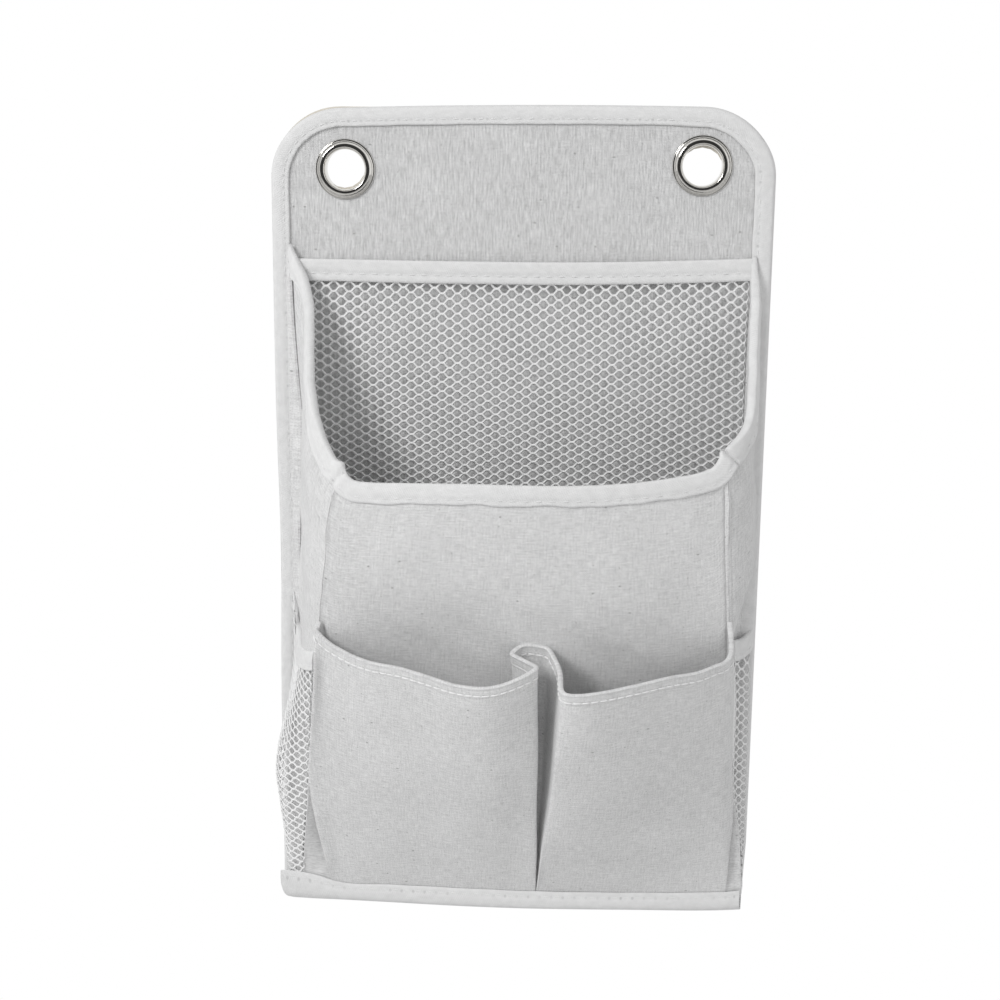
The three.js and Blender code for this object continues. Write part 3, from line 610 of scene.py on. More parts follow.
def dimpled(section, run, width, seed, waver=0.18, inset=STITCH_INSET, pull_in=0.28):
    """Tape outline at each place of the run: pulled in at the stitches, with a slightly wavy free edge."""
    outline, girth = section
    count = len(outline)
    front = np.zeros(count)
    front[:LEG_POINTS] = 1
    front[-LEG_POINTS - 1:] = 1
    down = outline[:, 1]
    pulled = pull_in * front * bell(down, width - inset, 0.9)
    pull = 0.75 + 0.25 * np.cos(2 * math.pi * run / STITCH_PITCH)
    wave = waver * ripples(run, 0 * run, (17, 29, 41, 11), seed)
    shaped = np.broadcast_to(outline, (len(run), count, 2)).copy()
    shaped[..., 0] -= pulled * pull[:, None]
    shaped[..., 1] += front * (down / width)[None] * wave[:, None]
    return shaped, girth


def path_ways(points, passes=0):
    """Unit ways along a row of points."""
    return unit(softened(np.gradient(points, axis=0), passes))


# The lower right end and the middle of the left side lie a little further in
flat_edge = edge_path()
edge_run = np.arange(0, lengths(flat_edge)[-1], 1.25)
flat_edge = along(flat_edge, flat_edge, edge_run)
flat_edge[:, 1] += hang(*flat_edge.T)
flat_edge[:, 0] -= 0.9 * np.clip((-284 - flat_edge[:, 1]) / 20, 0, 1) * (flat_edge[:, 0] > 0)
flat_edge[:, 0] += bell(flat_edge[:, 1], -158, 42) * (flat_edge[:, 0] < 0)
edge_width = np.interp(flat_edge[:, 0], [55, 92], [6.75, EDGE_WIDTH])
flat_way = path_ways(flat_edge, 2)
edge_points = np.insert(flat_edge, 1, 0.0, axis=1)
edge_in = np.insert(np.stack([flat_way[:, 1], -flat_way[:, 0]], -1), 1, 0.0, axis=1)
towards_room = everywhere(ROOM, edge_points)
edge_section = tape_section(TAPE_FRONT - TAPE / 2, -(TAPE_REAR + TAPE / 2), EDGE_WIDTH, 0.25)
edge_outline, edge_girth = dimpled(edge_section, edge_run, EDGE_WIDTH, 11)
edge_outline[..., 1] *= (edge_width / EDGE_WIDTH)[:, None]
edge_binding = loft("edge_binding", edge_points, towards_room, edge_in, (edge_outline, edge_girth), white_tape)


def row_of_stitches(name, centres, across, down, ways, front, width, inset=STITCH_INSET):
    """Stitches along a tape, on its front leg and a little way in from its free edge.

    The leg's distance in front and the tape's width are numbers, or values along the centres.
    """
    run = lengths(centres)
    places = np.arange(STITCH_PITCH * 0.6, run[-1] - STITCH_PITCH * 0.4, STITCH_PITCH)
    at = [along(centres, values, places) for values in (centres, across, down, ways)]
    front, width = (np.interp(places, run, np.broadcast_to(v, run.shape))[:, None] for v in (front, width))
    spots = at[0] + at[1] * (front + TAPE / 2 - THREAD_SEAT) + at[2] * (width - inset)
    return stitches(name, spots, unit(at[3]), unit(at[1]), white_thread)


edge_ways = np.insert(flat_way, 1, 0.0, axis=1)
edge_stitches = row_of_stitches("edge_stitches", edge_points, towards_room, edge_in, edge_ways,
                                TAPE_FRONT - TAPE / 2 + 0.1, edge_width)

# Lower edge: it sags a little between the sides; its tape is fuller and rounded at the left end, reaches lower at
# the rear, over the panel's edge, and is cut on a slant at the right end
bottom_x = np.concatenate([np.arange(-100.9, -96, 0.5), np.linspace(-96, 99.7, 158)])
bottom_z = spline([-101, -100.4, -99.2, -97, -92, -76, -49, -23, 3, 47, 90, 99],
                  [-308.6, -311, -312.6, -313.5, -314, -314.6, -315.5, -316.3, -316.5, -315.5, -313.8, -312.9],
                  bottom_x)
bottom_top = spline([-101, -91, -85, -79, -50, 10, 55, 90, 99],
                    [-301.2, -302, -303.2, -305, -306.4, -307.4, -306.6, -305, -304.2], bottom_x)
bottom_points = np.stack([bottom_x, 0 * bottom_x, bottom_z], -1)
bottom_width = bottom_top - bottom_z
BOTTOM_FRONT = 10.6
bottom_section = tape_section(BOTTOM_FRONT, 0.3 - (TAPE_REAR + TAPE / 2), BOTTOM_WIDTH, 0.3)
bottom_run = bottom_x - bottom_x[0]
bottom_outline, bottom_girth = dimpled(bottom_section, bottom_run, BOTTOM_WIDTH, 12)
bottom_outline[..., 1] *= (bottom_width / BOTTOM_WIDTH)[:, None]
bottom_drop = np.clip(bottom_z - BOTTOM + 0.4, 0, 3.6)[:, None]
bottom_outline[..., 1] -= bottom_drop * (1 - np.clip(bottom_outline[..., 0] / BOTTOM_FRONT, 0, 1))
bottom_up = everywhere(UP, bottom_x)
bottom_room = everywhere(ROOM, bottom_x)
bottom_room[:, 0] = -0.184 * np.clip((bottom_x - 92) / 7.7, 0, 1)
bottom_binding = loft("bottom_binding", bottom_points, bottom_room, bottom_up,
                      (bottom_outline, bottom_girth), white_tape)
bottom_stitches = row_of_stitches("bottom_stitches", bottom_points, bottom_room, bottom_up,
                                  path_ways(bottom_points), BOTTOM_FRONT + 0.1, bottom_width)


# Eyelets

def eyelet_profile():
    """Pressed flange: a low lip on the cloth, a steep shoulder, a rounded crest and a slope into the hole, then the
    barrel and its clinched end behind the washer."""
    seat = FACE_FRONT + 0.2
    front = [(11.8, 0), (11.8, 0.25), (11.72, 0.34), (11.3, 0.4), (11.1, 0.52), (10.7, 0.98), (10.3, 1.4),
             (10.0, 1.64), (9.8, 1.72), (9.4, 1.79), (9.0, 1.8), (8.7, 1.77), (8.5, 1.68), (8.3, 1.46),
             (8.05, 1.05), (7.88, 0.65), (7.8, 0.2)]
    front = through(front, np.linspace(0, 1, 48)) + [0, seat]
    clinch = [[EYELET_HOLE + 0.05, 0.5], [EYELET_HOLE + 0.4, 0.1], [9.7, 0.05], [10.0, 0.3], [9.7, 0.6],
              [8.4, 0.65]]
    return np.concatenate([front, clinch, [[8.4, seat - 0.1], [EYELET_RIM - 0.4, seat - 0.1]]])


def washer_profile():
    return [[8.65, 0.85], [11.5, 0.85], [11.85, 1.0], [11.85, 1.35], [11.5, 1.45], [8.65, 1.45]]


# The eyelets sit slightly off their even places, across and up
EYELET_SHIFT = {-1: (0.7, -0.5), 1: (0.2, 0.8)}
for label, side in SIDES:
    shift_x, shift_z = EYELET_SHIFT[side]
    centre = (side * EYELET_X + shift_x, hang(side * EYELET_X, 0.0) + shift_z)
    eyelet = turned(f"{label}_eyelet_ring", *centre, eyelet_profile(), nickel)
    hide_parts(f"{label}_eyelet")
    washer = turned(f"{label}_washer_ring", *centre, washer_profile(), nickel, 64)
    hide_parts(f"{label}_eyelet_washer")


# Flat net pocket

def net_bow(x, z):
    """How far the net stands out: most at the middle of its tape, none at the sides and 130 mm below."""
    drop = np.clip((NET_TOP - z) / 130, 0, 1)
    return 1.3 * (1 - np.clip(np.abs(x) / 90, 0, 1) ** 2) * np.cos(drop * math.pi / 2) ** 2


# Creases where the gussets leave the panel, from the mouth down
REAR = {
    -1: [(-92.6, -7.2, -31.2), (-91.6, -7, -60), (-89.8, -7, -85), (-88.2, -7, -105), (-89.4, -7, -128),
         (-91.0, -7, -170), (-92.0, -7, -230), (-92.4, -7, -304)],
    1: [(92.9, -7.2, -33.4), (92.0, -7, -60), (92.0, -7, -120), (92.2, -7, -200), (92.6, -7, -302)]}


def crease_x(side, z):
    """Place across of a gusset's crease at a height: a smooth curve through its measured places."""
    rail = np.array(REAR[side])[::-1]
    return spline(rail[:, 2], rail[:, 0], np.clip(z, rail[0, 2], rail[-1, 2]))


def net_height(flat_z):
    """Height on the panel of a flat height: the knit is stretched by a tenth at its tape and evens out to a tenth
    slack 72 mm below."""
    drop = KNIT_TOP - flat_z
    near = np.minimum(drop, KNIT_EASE)
    return KNIT_TOP - (1.1 * near - 0.00132 * near**2 + 0.91 * (drop - near))


def net_place(flat):
    """Net on its surface: its outer cells are squeezed up to the gussets' creases, and the knit wavers a little."""
    x, z = flat[:, 0], net_height(flat[:, 1])
    x = squeezed(x + 0.22 * ripples(x, z, (31, 47, 23), 81), crease_x(-1, z) + 0.4, crease_x(1, z) - 0.4)
    z = z + 0.25 * ripples(x, z, (28, 41, 19), 82) * np.clip((NET_TOP - 3 - z) / 12, 0, 1)
    points = np.stack([x, -NET_REACH - net_bow(x, z), z], -1)
    return points, everywhere(ROOM, points)


def net_held(centre):
    """Cells whose middle lies between the creases, or just outside them."""
    x, z = centre[:, 0], net_height(centre[:, 1])
    return (x > crease_x(-1, z) - 1) & (x < crease_x(1, z) + 1)


flat_net = six_sided_net("net_weave", (-95.6, -327.0), (95.6, KNIT_TOP), net_place, white_net, net_held)
net_x = np.linspace(-91.4, 92.0, 150)
net_z = spline([-92, -60, -25, 30, 60, 92], [-37.0, -37.1, -37.2, -36.8, -35.9, -34.6], net_x)
net_points = np.stack([net_x, -NET_REACH - net_bow(net_x, net_x * 0 + NET_TOP), net_z], -1)
net_ways = path_ways(net_points)
net_down = everywhere(DOWN, net_x)
net_out = unit(np.cross(net_ways, net_down))
net_out = net_out * -np.sign(net_out[:, 1:2])
net_section = dimpled(tape_section(0.85, 0.85, NET_TAPE_WIDTH, 0.2, NET_STITCH_INSET), lengths(net_points),
                      NET_TAPE_WIDTH, 21, inset=NET_STITCH_INSET, pull_in=0.4)
net_binding = loft("net_binding", net_points, net_out, net_down, net_section, pocket_tape)
net_stitches = row_of_stitches("net_tape_stitches", net_points, net_out, net_down, net_ways, 0.95,
                               NET_TAPE_WIDTH, NET_STITCH_INSET)


# Main pocket: front and gussets

# Front seams, as heights and places across
FRONT_SEAM = {
    -1: [(-312, -92.4), (-302, -91.6), (-267.6, -87.2), (-232, -83.2), (-203.6, -79.6), (-176.6, -76.7),
         (-150.8, -73.4), (-126, -70.0), (-119, -67.2), (-112, -64.6), (-98, -62)],
    1: [(-312, 98.0), (-302, 97.6), (-287, 96.6), (-274, 95.0), (-263, 93.2), (-250, 91.0), (-236.2, 89.6),
        (-220, 88.5), (-203.3, 87.5), (-172.8, 85.6), (-140.9, 83.3), (-111.8, 81.5), (-98, 79.4)]}


def seam_x(side, z):
    """Place across of a front seam at a height: a smooth curve through its measured places."""
    knots, values = np.array(FRONT_SEAM[side]).T
    return spline(knots, values, z)


def fullness(z):
    """Share of the pocket's reach at a height: none at the bottom tape, all of it from the rim up."""
    rise = np.clip((z - FOOT) / (RIM - FOOT), 0, 1)
    return 1 - (1 - rise) ** 1.6


def seam_reach(z):
    return 8.4 + 43 * fullness(z)


def front_y(x, z):
    """Depth of the pocket's front: its corners' reach and a belly, a parabola between the seams."""
    left, right = seam_x(-1, z), seam_x(1, z)
    p = np.clip((x - left) / (right - left), 0, 1)
    return -seam_reach(z) - 9 * fullness(z) * 4 * p * (1 - p)


# Upper edge of the front, as shares across and heights
RIM_LINE = [(0, -114.8), (0.03, -117.9), (0.071, -118.4), (0.152, -118.0), (0.34, -117.1), (0.471, -117.1),
            (0.576, -117.0), (0.68, -116.5), (0.785, -115.3), (0.863, -113.8), (0.943, -111.5), (0.968, -110.0),
            (0.988, -106.0), (1, -103.6)]


def front_grid(across, down):
    """Front of the pocket: heights from the rim to the bottom seam, places across between the two seams.

    It sways a little, is pressed in at both lower corners and behind the left pocket, and bulges right of its
    middle. Both edges turn out in a low puckered ridge, where the seam allowance is caught.
    """
    u, v = np.meshgrid(across, down, indexing="xy")
    top = spline(*np.array(RIM_LINE).T, u)
    foot = mix(-312.0, -310.5, u) - 3 * 4 * u * (1 - u) * 0.8
    z = mix(top, foot, v)
    left, right = seam_x(-1, z), seam_x(1, z)
    x = mix(left, right, u)
    y = front_y(x, z)
    sway = ripples(x, z, (64, 88, 47, 120), 31) * 0.7 + 0.25 * ripples(x, z, (19, 27, 14), 32)
    y = y + sway * np.sin(math.pi * u) ** 0.5 * np.clip(v * 12, 0, 1) * np.clip((1 - v) * 5, 0, 1)
    y = y + 4.5 * bell(x, -78, 9) * bell(z, -283, 16) + 3.5 * bell(x, 89.5, 6) * bell(z, -282, 16)
    lean = np.clip((-152 - z) / 34, 0, 1)
    y = y + 5.0 * bell(x, -38, 30) * lean**2 * (3 - 2 * lean) * np.sin(math.pi * u) ** 0.5
    y = y + 1.2 * bell(x, -75.6, 1.2) * bell(z, -181, 4.5)
    y = y - 2.2 * fullness(z) * bell(u, 0.74, 0.15) * np.clip(v * 4, 0, 1)
    lip = seam_relief(-1, u * (right - left), z, 0.0) + seam_relief(1, (1 - u) * (right - left), z, 0.8)
    return np.stack([x + np.sign(u - 0.5) * lip * 0.55, y - lip * 0.8, z], -1)


def seam_relief(side, distance, z, groove):
    """Seam seen from outside: a puckered ridge on the seam, which on the right turns to a valley in its lower half,
    and a groove beside it."""
    upper = np.clip((z + 150) / 16, 0, 1)
    height, spread = (mix(0.4, 0.7, upper), 0.7) if side < 0 else (mix(-1.0, 0.55, upper), 0.45)
    pucker = 0.7 + 0.4 * np.sin(z / 2.3 + 1.3 * np.sin(z / 9.1))
    ends = np.clip((z + 304) / 12, 0, 1) * np.clip((-z - 116) / 4, 0, 1)
    return ends * (height * pucker * bell(distance, 0, spread) - groove * bell(distance, 1.3, 0.55))


near_seam = np.array([0, 0.3, 0.6, 0.9, 1.2, 1.5, 1.8, 2.2, 2.7, 3.4, 4.4])
across = np.concatenate([near_seam / 165, np.linspace(0.034, 0.966, 118), 1 - near_seam[::-1] / 165])
pocket_front = cloth("pocket_front", front_grid(across, np.linspace(0, 1, 150)), CLOTH, pocket_cloth)

# Edges of the mouth along the gussets, from the crease to just before the front seam
MOUTH = {
    -1: [REAR[-1][0], (-90.4, -8.8, -35.5), (-86.3, -12, -43), (-83.1, -17, -53), (-82.4, -22, -64.5),
         (-81.0, -30, -82), (-78.5, -36, -92.5), (-74.0, -42.5, -104), (-69.4, -47.5, -111)],
    1: [REAR[1][0], (93.4, -11, -45.5), (92.7, -21, -67), (91.4, -32, -84), (89.9, -40, -94),
                    (86.3, -46.2, -98.8)]}
# Each gusset: from where and over what share of its height the bow and the swell fade, how much of each fades, how
# far it is drawn in behind the side net, the groove beside its seam, and the place and lip of its hidden strip
GUSSET = {
    -1: {"start": 0.22, "span": 0.16, "bow_fade": 0.0, "swell_fade": 0.85, "draw": 0.0, "groove": 0.0,
         "strip_x": -94.1, "lip": 1.0},
    1: {"start": 0.3, "span": 0.12, "bow_fade": 0.95, "swell_fade": 1.0, "draw": 1.6, "groove": 0.5,
        "strip_x": 93.4, "lip": 0.3}}


def corner_point(side):
    """Upper end of a front seam, where the front and a gusset meet at the mouth."""
    u = 0.0 if side < 0 else 1.0
    z = spline(*np.array(RIM_LINE).T, np.array(u))
    x = seam_x(side, z)
    return np.array([x, front_y(x, z), z])


def gusset_wall(side, across, down):
    """Gusset: straight lines from its crease to the front seam, with the bow of the mouth's edge added, which fades
    downward, and a swell outward; on the right it is drawn in behind the side net."""
    form = GUSSET[side]
    end = corner_point(side)
    mouth = through(np.array(MOUTH[side] + [tuple(end)]), across)
    rear = through(REAR[side], down)
    z = mix(end[2], -307.0, down)
    seam = np.stack([seam_x(side, z), -seam_reach(z), z], -1)
    a, v = np.meshgrid(across, down, indexing="xy")
    a, v = a[..., None], v[..., None]
    below = np.clip((v - form["start"]) / form["span"], 0, 1)
    bow = (1 - v) * (1 - form["bow_fade"] * below)
    grid = mix(rear[:, None], seam[:, None], a) + bow * (mouth - mix(mouth[0], mouth[-1], across[:, None]))
    a, v, below = a[..., 0], v[..., 0], below[..., 0]
    swell = 4.0 * np.sin(math.pi * a) ** 0.8 * np.clip(v * 3, 0, 1) * (1 - form["swell_fade"] * below)
    swell = swell - form["draw"] * below * (9.48 * a * (1 - a) ** 3 + 0.56 * np.sin(math.pi * a))
    crease = 0.35 * ripples(grid[..., 1], grid[..., 2], (21, 34, 55), 41 + side)
    width = np.linalg.norm(seam - rear, axis=-1)[:, None]
    lip = seam_relief(side, (1 - a) * width, grid[..., 2], form["groove"])
    inner = np.sin(math.pi * a) * np.clip(v * 8, 0, 1)
    grid[..., 0] += side * (swell + crease * inner + lip * 0.55)
    grid[..., 1] -= lip * 0.8
    return grid


def gusset_grid(side, across, down):
    """Gusset with the narrow strip that lies on the panel behind its crease and runs under the edge tape.

    Along the upper crease the strip's edge stands up in a low lip over the crease.
    """
    wall = gusset_wall(side, across, down)
    crease = wall[:, :1]
    hidden = np.array([GUSSET[side]["strip_x"], -5.95, 0]) + crease * [0, 0, 1]
    strip = mix(hidden, crease, np.array([0, 0.45, 0.7, 0.83, 0.92, 0.97])[None, :, None])
    z = crease[..., 2]
    open_crease = np.clip((z + 128) / 12, 0, 1) * np.clip((-36 - z) / 4, 0, 1) + 0.8 * bell(z, -150, 8)
    lip = open_crease * np.array([0, 0.4, 1.3, 1.9, 1.7, 0.9]) * GUSSET[side]["lip"]
    strip[..., 1] -= lip
    wall[:, :2, 1] += 0.7 * open_crease * np.array([1.0, 0.5])
    return np.concatenate([strip, wall], axis=1)


gusset_across = np.concatenate([np.linspace(0, 0.89, 40), 1 - near_seam[::-1] / 45])
gussets = {side: gusset_grid(side, gusset_across, np.linspace(0, 1, 150)) for side in (-1, 1)}
left_gusset = cloth("gusset_left", gussets[-1], CLOTH, pocket_cloth)
right_gusset = cloth("gusset_right", gussets[1], CLOTH, pocket_cloth)


# Tape around the mouth

def mouth_frames():
    """Edge of the mouth from the left rear end to the right, with the ways out of the pocket and down its wall.

    At both ends the way down turns upright, so that the tape runs in under the edge tape.
    """
    side_count, front_count = 90, 140
    fine = np.linspace(0, 1, side_count)
    step = np.array([0.0, 0.035])
    left = gusset_wall(-1, fine, step)
    middle = front_grid(np.linspace(0, 1, front_count), step)
    right = gusset_wall(1, fine, step)[:, ::-1]
    edge, below = np.concatenate([left[:, :-1], middle, right[:, 1:]], axis=1)
    corners = lengths(edge)[[side_count - 1, side_count + front_count - 2]]
    run = np.arange(0, lengths(edge)[-1], 0.6)
    points = softened(along(edge, edge, run), 12)
    falls = along(edge, below - edge, run)
    ways = path_ways(points, 12)
    down = softened(unit(falls - ways * np.sum(falls * ways, -1, keepdims=True)), 30)
    down = unit(down - ways * np.sum(down * ways, -1, keepdims=True))
    out = unit(np.cross(ways, down))
    out = out * -np.sign(out[len(out) // 2, 1])
    ends = np.clip(1 - np.minimum(run, run[-1] - run) / 10, 0, 1)[:, None]
    return points, out, unit(mix(down, np.array(DOWN), ends)), ways, run, corners


mouth_points, mouth_out, mouth_down, mouth_ways, mouth_run, (left_turn, right_turn) = mouth_frames()
mouth_section = tape_section(0.95, 0.95, MOUTH_WIDTH, 0.35)
mouth_shape, mouth_girth = dimpled(mouth_section, mouth_run, MOUTH_WIDTH, 52, waver=0.6)
# The tape is puffy and wavy along the gussets, flat along the front, and creased where it turns the corners
mouth_end = mouth_run[-1]
puff = softened(np.interp(
    mouth_run, [0, 12, left_turn - 14, left_turn + 6, right_turn - 6, right_turn + 14, mouth_end - 12, mouth_end],
    [0.8, 1.25, 1.3, 1.0, 1.0, 1.35, 1.4, 0.8]), 8)
low_share = np.clip(mouth_shape[..., 1] / MOUTH_WIDTH, 0, 1)
crease = bell(mouth_run, left_turn, 1.3) + 1.7 * bell(mouth_run, right_turn, 1.2)
# Along the left gusset less of it is folded to the outside
outside = softened(np.interp(
    mouth_run, [0, 9, 20, left_turn - 34, left_turn - 14], [1.0, 1.0, 0.5, 0.5, 1.0]), 8)
mouth_shape[:, :LEG_POINTS, 1] *= outside[:, None]
mouth_shape[:, -LEG_POINTS - 1:, 1] *= outside[:, None]
mouth_shape[..., 0] *= puff[:, None]
mouth_shape[..., 0] -= np.clip(mouth_shape[..., 0] / 0.6, 0, 1) * crease[:, None]
flutter = 0.22 * ripples(mouth_run, 0 * mouth_run, (9, 13, 19, 31), 51)
billow = 0.7 * np.clip(puff - 1, 0, 1) * ripples(mouth_run, 0 * mouth_run, (13, 21, 34), 53)
peak = 1.1 * bell(mouth_run, right_turn - 1, 1.6) + 1.8 * bell(mouth_run, left_turn - 3.2, 2.4)
mouth_shape[..., 0] += flutter[:, None] * low_share
mouth_shape[..., 0] += billow[:, None]
mouth_shape[..., 1] -= peak[:, None] * (1 - low_share)
mouth_binding = loft("mouth_binding", mouth_points, mouth_out, mouth_down,
                     (mouth_shape, mouth_girth), pocket_tape)
mouth_stitches = row_of_stitches("mouth_stitches", mouth_points, mouth_out, mouth_down, mouth_ways,
                                 1.1 * puff - crease, MOUTH_WIDTH * outside)


# Front pockets: one panel with a box pleat

LEFT_SIDE = [(-77.2, -45.2, -177.0), (-79.4, -40.6, -203), (-83.0, -33.0, -232), (-87.0, -22.8, -267),
             (-89.7, -15.4, -288), (-91.3, -9.8, -300), (-91.6, -9.4, -301.6)]
LEFT_TUCK = [(-77.6, -45.9, -178.2), (-79.2, -44.4, -200), (-81.4, -38.4, -222), (-84.7, -26.0, -255),
             (-81.8, -18.6, -270), (-79.0, -12.8, -286), (-75.4, -9.8, -302), (-75.0, -9.4, -304.7)]
LEFT_FOLD = [(-77.9, -46.6, -179.6), (-78.8, -49.0, -190), (-79.0, -48.0, -196.5), (-80.1, -43.5, -210.7),
             (-81.3, -40.0, -220.5), (-82.7, -36.0, -232), (-84.7, -27.6, -256.5), (-83.4, -22.8, -272.2),
             (-81.7, -18.0, -285.6), (-79.9, -11.6, -302), (-79.6, -9.8, -304.5)]
LEFT_PLEAT = [(11.1, -72.5, -184.5), (11.4, -67, -203.9), (11.3, -56.1, -228), (10.5, -34.3, -268.6),
              (9.9, -11.4, -305), (9.9, -9.8, -306.9)]
PLEAT_LEFT = [(-0.3, -54.8, -185.0), (0.6, -48.6, -203), (2.8, -41.4, -228), (6.2, -26.6, -268),
              (9.2, -10.6, -304.5),
              (9.2, -9.5, -306.9)]
PLEAT_BACK = [(3.4, -51.6, -182.6), (4.0, -46.8, -203), (5.6, -40.0, -228), (8.0, -25.6, -268),
              (10.0, -10.4, -304.5),
              (10.0, -9.4, -306.9)]
PLEAT_RIGHT = [(14.6, -52.3, -182.9), (14.2, -47.6, -203), (13.6, -40.6, -228), (12, -26.1, -268),
               (10.9, -10.6, -304.5), (10.8, -9.5, -306.9)]
PLEAT_WALL = [(19.1, -64.5, -187.9), (17.8, -59.6, -203.5), (16.8, -51.2, -227.5), (14.3, -35.6, -262),
              (10.9, -11.0, -304.8), (10.7, -9.6, -306.9)]
RIGHT_PLEAT = [(19.9, -77.3, -191.4), (19.3, -69.2, -209.7), (18.4, -60.2, -227), (15.9, -43.5, -256.5),
               (13.3, -29.2, -279.7), (10.7, -11.6, -305), (10.5, -9.8, -306.9)]
RIGHT_FOLD = [(86.0, -50.5, -184.0), (86.9, -49.5, -187.4), (87.5, -48.0, -194.1), (88.1, -45.5, -201.6),
              (89.0, -38.9, -218.4), (89.7, -34.2, -231), (90.6, -28.6, -248), (91.2, -26.0, -255.5),
              (91.9, -22.4, -267.4), (92.3, -18.2, -280.3), (92.5, -11.6, -301), (92.5, -9.8, -304.4)]
RIGHT_TUCK = [(86.0, -47.6, -178.6), (87.3, -43.2, -203), (89.3, -33.2, -236), (91.0, -25.6, -253),
              (91.2, -19.4, -268),
              (89.6, -14.4, -281), (88.2, -9.9, -302), (88.0, -9.4, -304.6)]
RIGHT_SIDE = [(85.4, -45.4, -173.1), (87.5, -40.6, -203.3), (89.6, -31.8, -236.2), (91.6, -26.6, -252),
              (93.6, -22.6, -263), (95.6, -18.4, -274), (97.2, -14.2, -287), (98.2, -10.2, -301.5),
              (98.3, -9.4, -303.8)]
# Points of the hem across each pocket, and the places across that they come down to
LEFT_HEM = [(-74.8, -48.8, -182.4), (-65.7, -53, -186.6), (-56.7, -58.5, -188.3), (-42.2, -65.5, -188.6),
            (-32.1, -69.5, -190.1), (-18.9, -75, -191.9), (-6.1, -78.6, -190.9), (4.4, -76.6, -187.5)]
LEFT_HEM_LOW = [-76.0, -67.5, -58, -44, -33.5, -20.5, -8, 2.5]
RIGHT_HEM = [(20.7, -79.2, -192.3), (23.0, -80.2, -192.6), (27, -80.5, -192.5), (33.5, -79.5, -191.9),
             (47.6, -75, -190.1), (62.2, -68, -188.5), (73.3, -62, -188.2), (79.3, -58, -186.9),
             (84.2, -54, -186)]
RIGHT_HEM_LOW = [11.4, 13.6, 18, 26, 42.5, 60, 73.5, 81, 87.5]
# Depth of a pocket's front at the bottom tape
POCKET_FOOT = -9.75
# Points across the panel: seam to tuck, tuck to fold, a pocket's front, a pleat's side and a pleat's back
ACROSS = {"seam": 9, "tuck": 9, "front": 84, "side": 24, "back": 14}


def falling(hem, low, down, spread, power):
    """Lines down a pocket's front: straight in x and z; the reach falls with a power of the share."""
    hem = np.asarray(hem, float)[:, None]
    t = down[None]
    x = mix(hem[..., 0], np.asarray(low, float)[:, None], t) + np.asarray(spread)[:, None] * np.sin(math.pi * t)
    y = POCKET_FOOT + (hem[..., 1] - POCKET_FOOT) * (1 - t ** np.asarray(power)[:, None])
    end = np.interp(low, bottom_x, bottom_top)[:, None] + 0.5
    return np.stack([x, y, mix(hem[..., 2], end, t)], -1)


def pockets_grid(down):
    """Panel of the front pockets: at each level a section from the left seam around both pockets and the pleat.

    Straight runs join the seams, tucks, folds and the pleat's back; smooth curves through the lines down each front
    make the two pockets. All sections are softened together, which rounds the folds. Two last rows go straight down
    behind the bottom tape.
    """
    rails = [through(r, down) for r in (
        LEFT_SIDE, LEFT_TUCK, LEFT_FOLD, LEFT_PLEAT, PLEAT_LEFT, PLEAT_BACK, PLEAT_RIGHT, PLEAT_WALL, RIGHT_PLEAT,
        RIGHT_FOLD, RIGHT_TUCK, RIGHT_SIDE)]
    left = np.concatenate([rails[2][None], falling(
        LEFT_HEM, LEFT_HEM_LOW, down, (-3.4, -2.4, -1.5, -0.6, 0, 0, 0.5, 0.8), (1.2,) * 8), rails[3][None]])
    right = np.concatenate([rails[8][None], falling(
        RIGHT_HEM, RIGHT_HEM_LOW, down, (0, 0, 0, 0, 0, 0, 0.7, 1, 1.5),
        (1.2, 1.22, 1.26, 1.32, 1.4, 1.38, 1.32, 1.26, 1.2)), rails[9][None]])

    def fill(kind, rows):
        rows = np.stack(rows)
        run = lengths(rows[:, 0])
        return spline(run / run[-1], rows, np.linspace(0, 1, ACROSS[kind]))[1:]

    runs = [rails[0][None]] + [fill(kind, rows) for kind, rows in (
        ("seam", rails[0:2]), ("tuck", rails[1:3]), ("front", left), ("side", rails[3:5]), ("back", rails[4:7]),
        ("side", rails[6:9]), ("front", right), ("tuck", rails[9:11]), ("seam", rails[10:12]))]
    grid = np.swapaxes(softened(np.concatenate(runs), 4), 0, 1)
    return np.concatenate([grid, grid[-1:] - [0, 0, 1.5], grid[-1:] - [0, 0, 4.0]])


pocket_down = np.concatenate([np.linspace(0, 0.056, 32), np.linspace(0.063, 1, 118)])
pocket_points = pockets_grid(pocket_down)
HEM = 4.8
HEM_SEAM = HEM - 0.9
ON_LEFT_POCKET = 60
pocket_run = lengths(pocket_points[:, ON_LEFT_POCKET])
pocket_out = normals(pocket_points)
pocket_out = pocket_out * np.sign(-pocket_out[60, ON_LEFT_POCKET, 1])
sway = 0.45 * ripples(pocket_points[..., 0], pocket_points[..., 2], (38, 52, 71, 29), 61)
sway = sway * np.clip(pocket_run / 25, 0, 1)[:, None]
sway = sway * np.clip((pocket_run[-1] - pocket_run) / 30, 0, 1)[:, None]
pocket_points = pocket_points + pocket_out * sway[..., None]
edge_round = np.sqrt(np.clip(pocket_run / 0.35, 0.3, 1))
hem_thick = (CLOTH + 0.6 / (1 + np.exp((pocket_run - HEM) / 0.1)) - 0.6 * bell(pocket_run, HEM_SEAM, 0.4)
             + 0.6 * bell(pocket_run, 0.5, 0.5)) * edge_round
front_pockets = cloth("front_pockets", pocket_points, hem_thick[:, None], pocket_cloth)


def sewn(points, out, places, lift):
    """Places along a row of points, lifted off the cloth, with the ways along the row and out of the cloth."""
    outs = unit(along(points, out, places))
    return along(points, points, places) + outs * lift, unit(along(points, path_ways(points), places)), outs


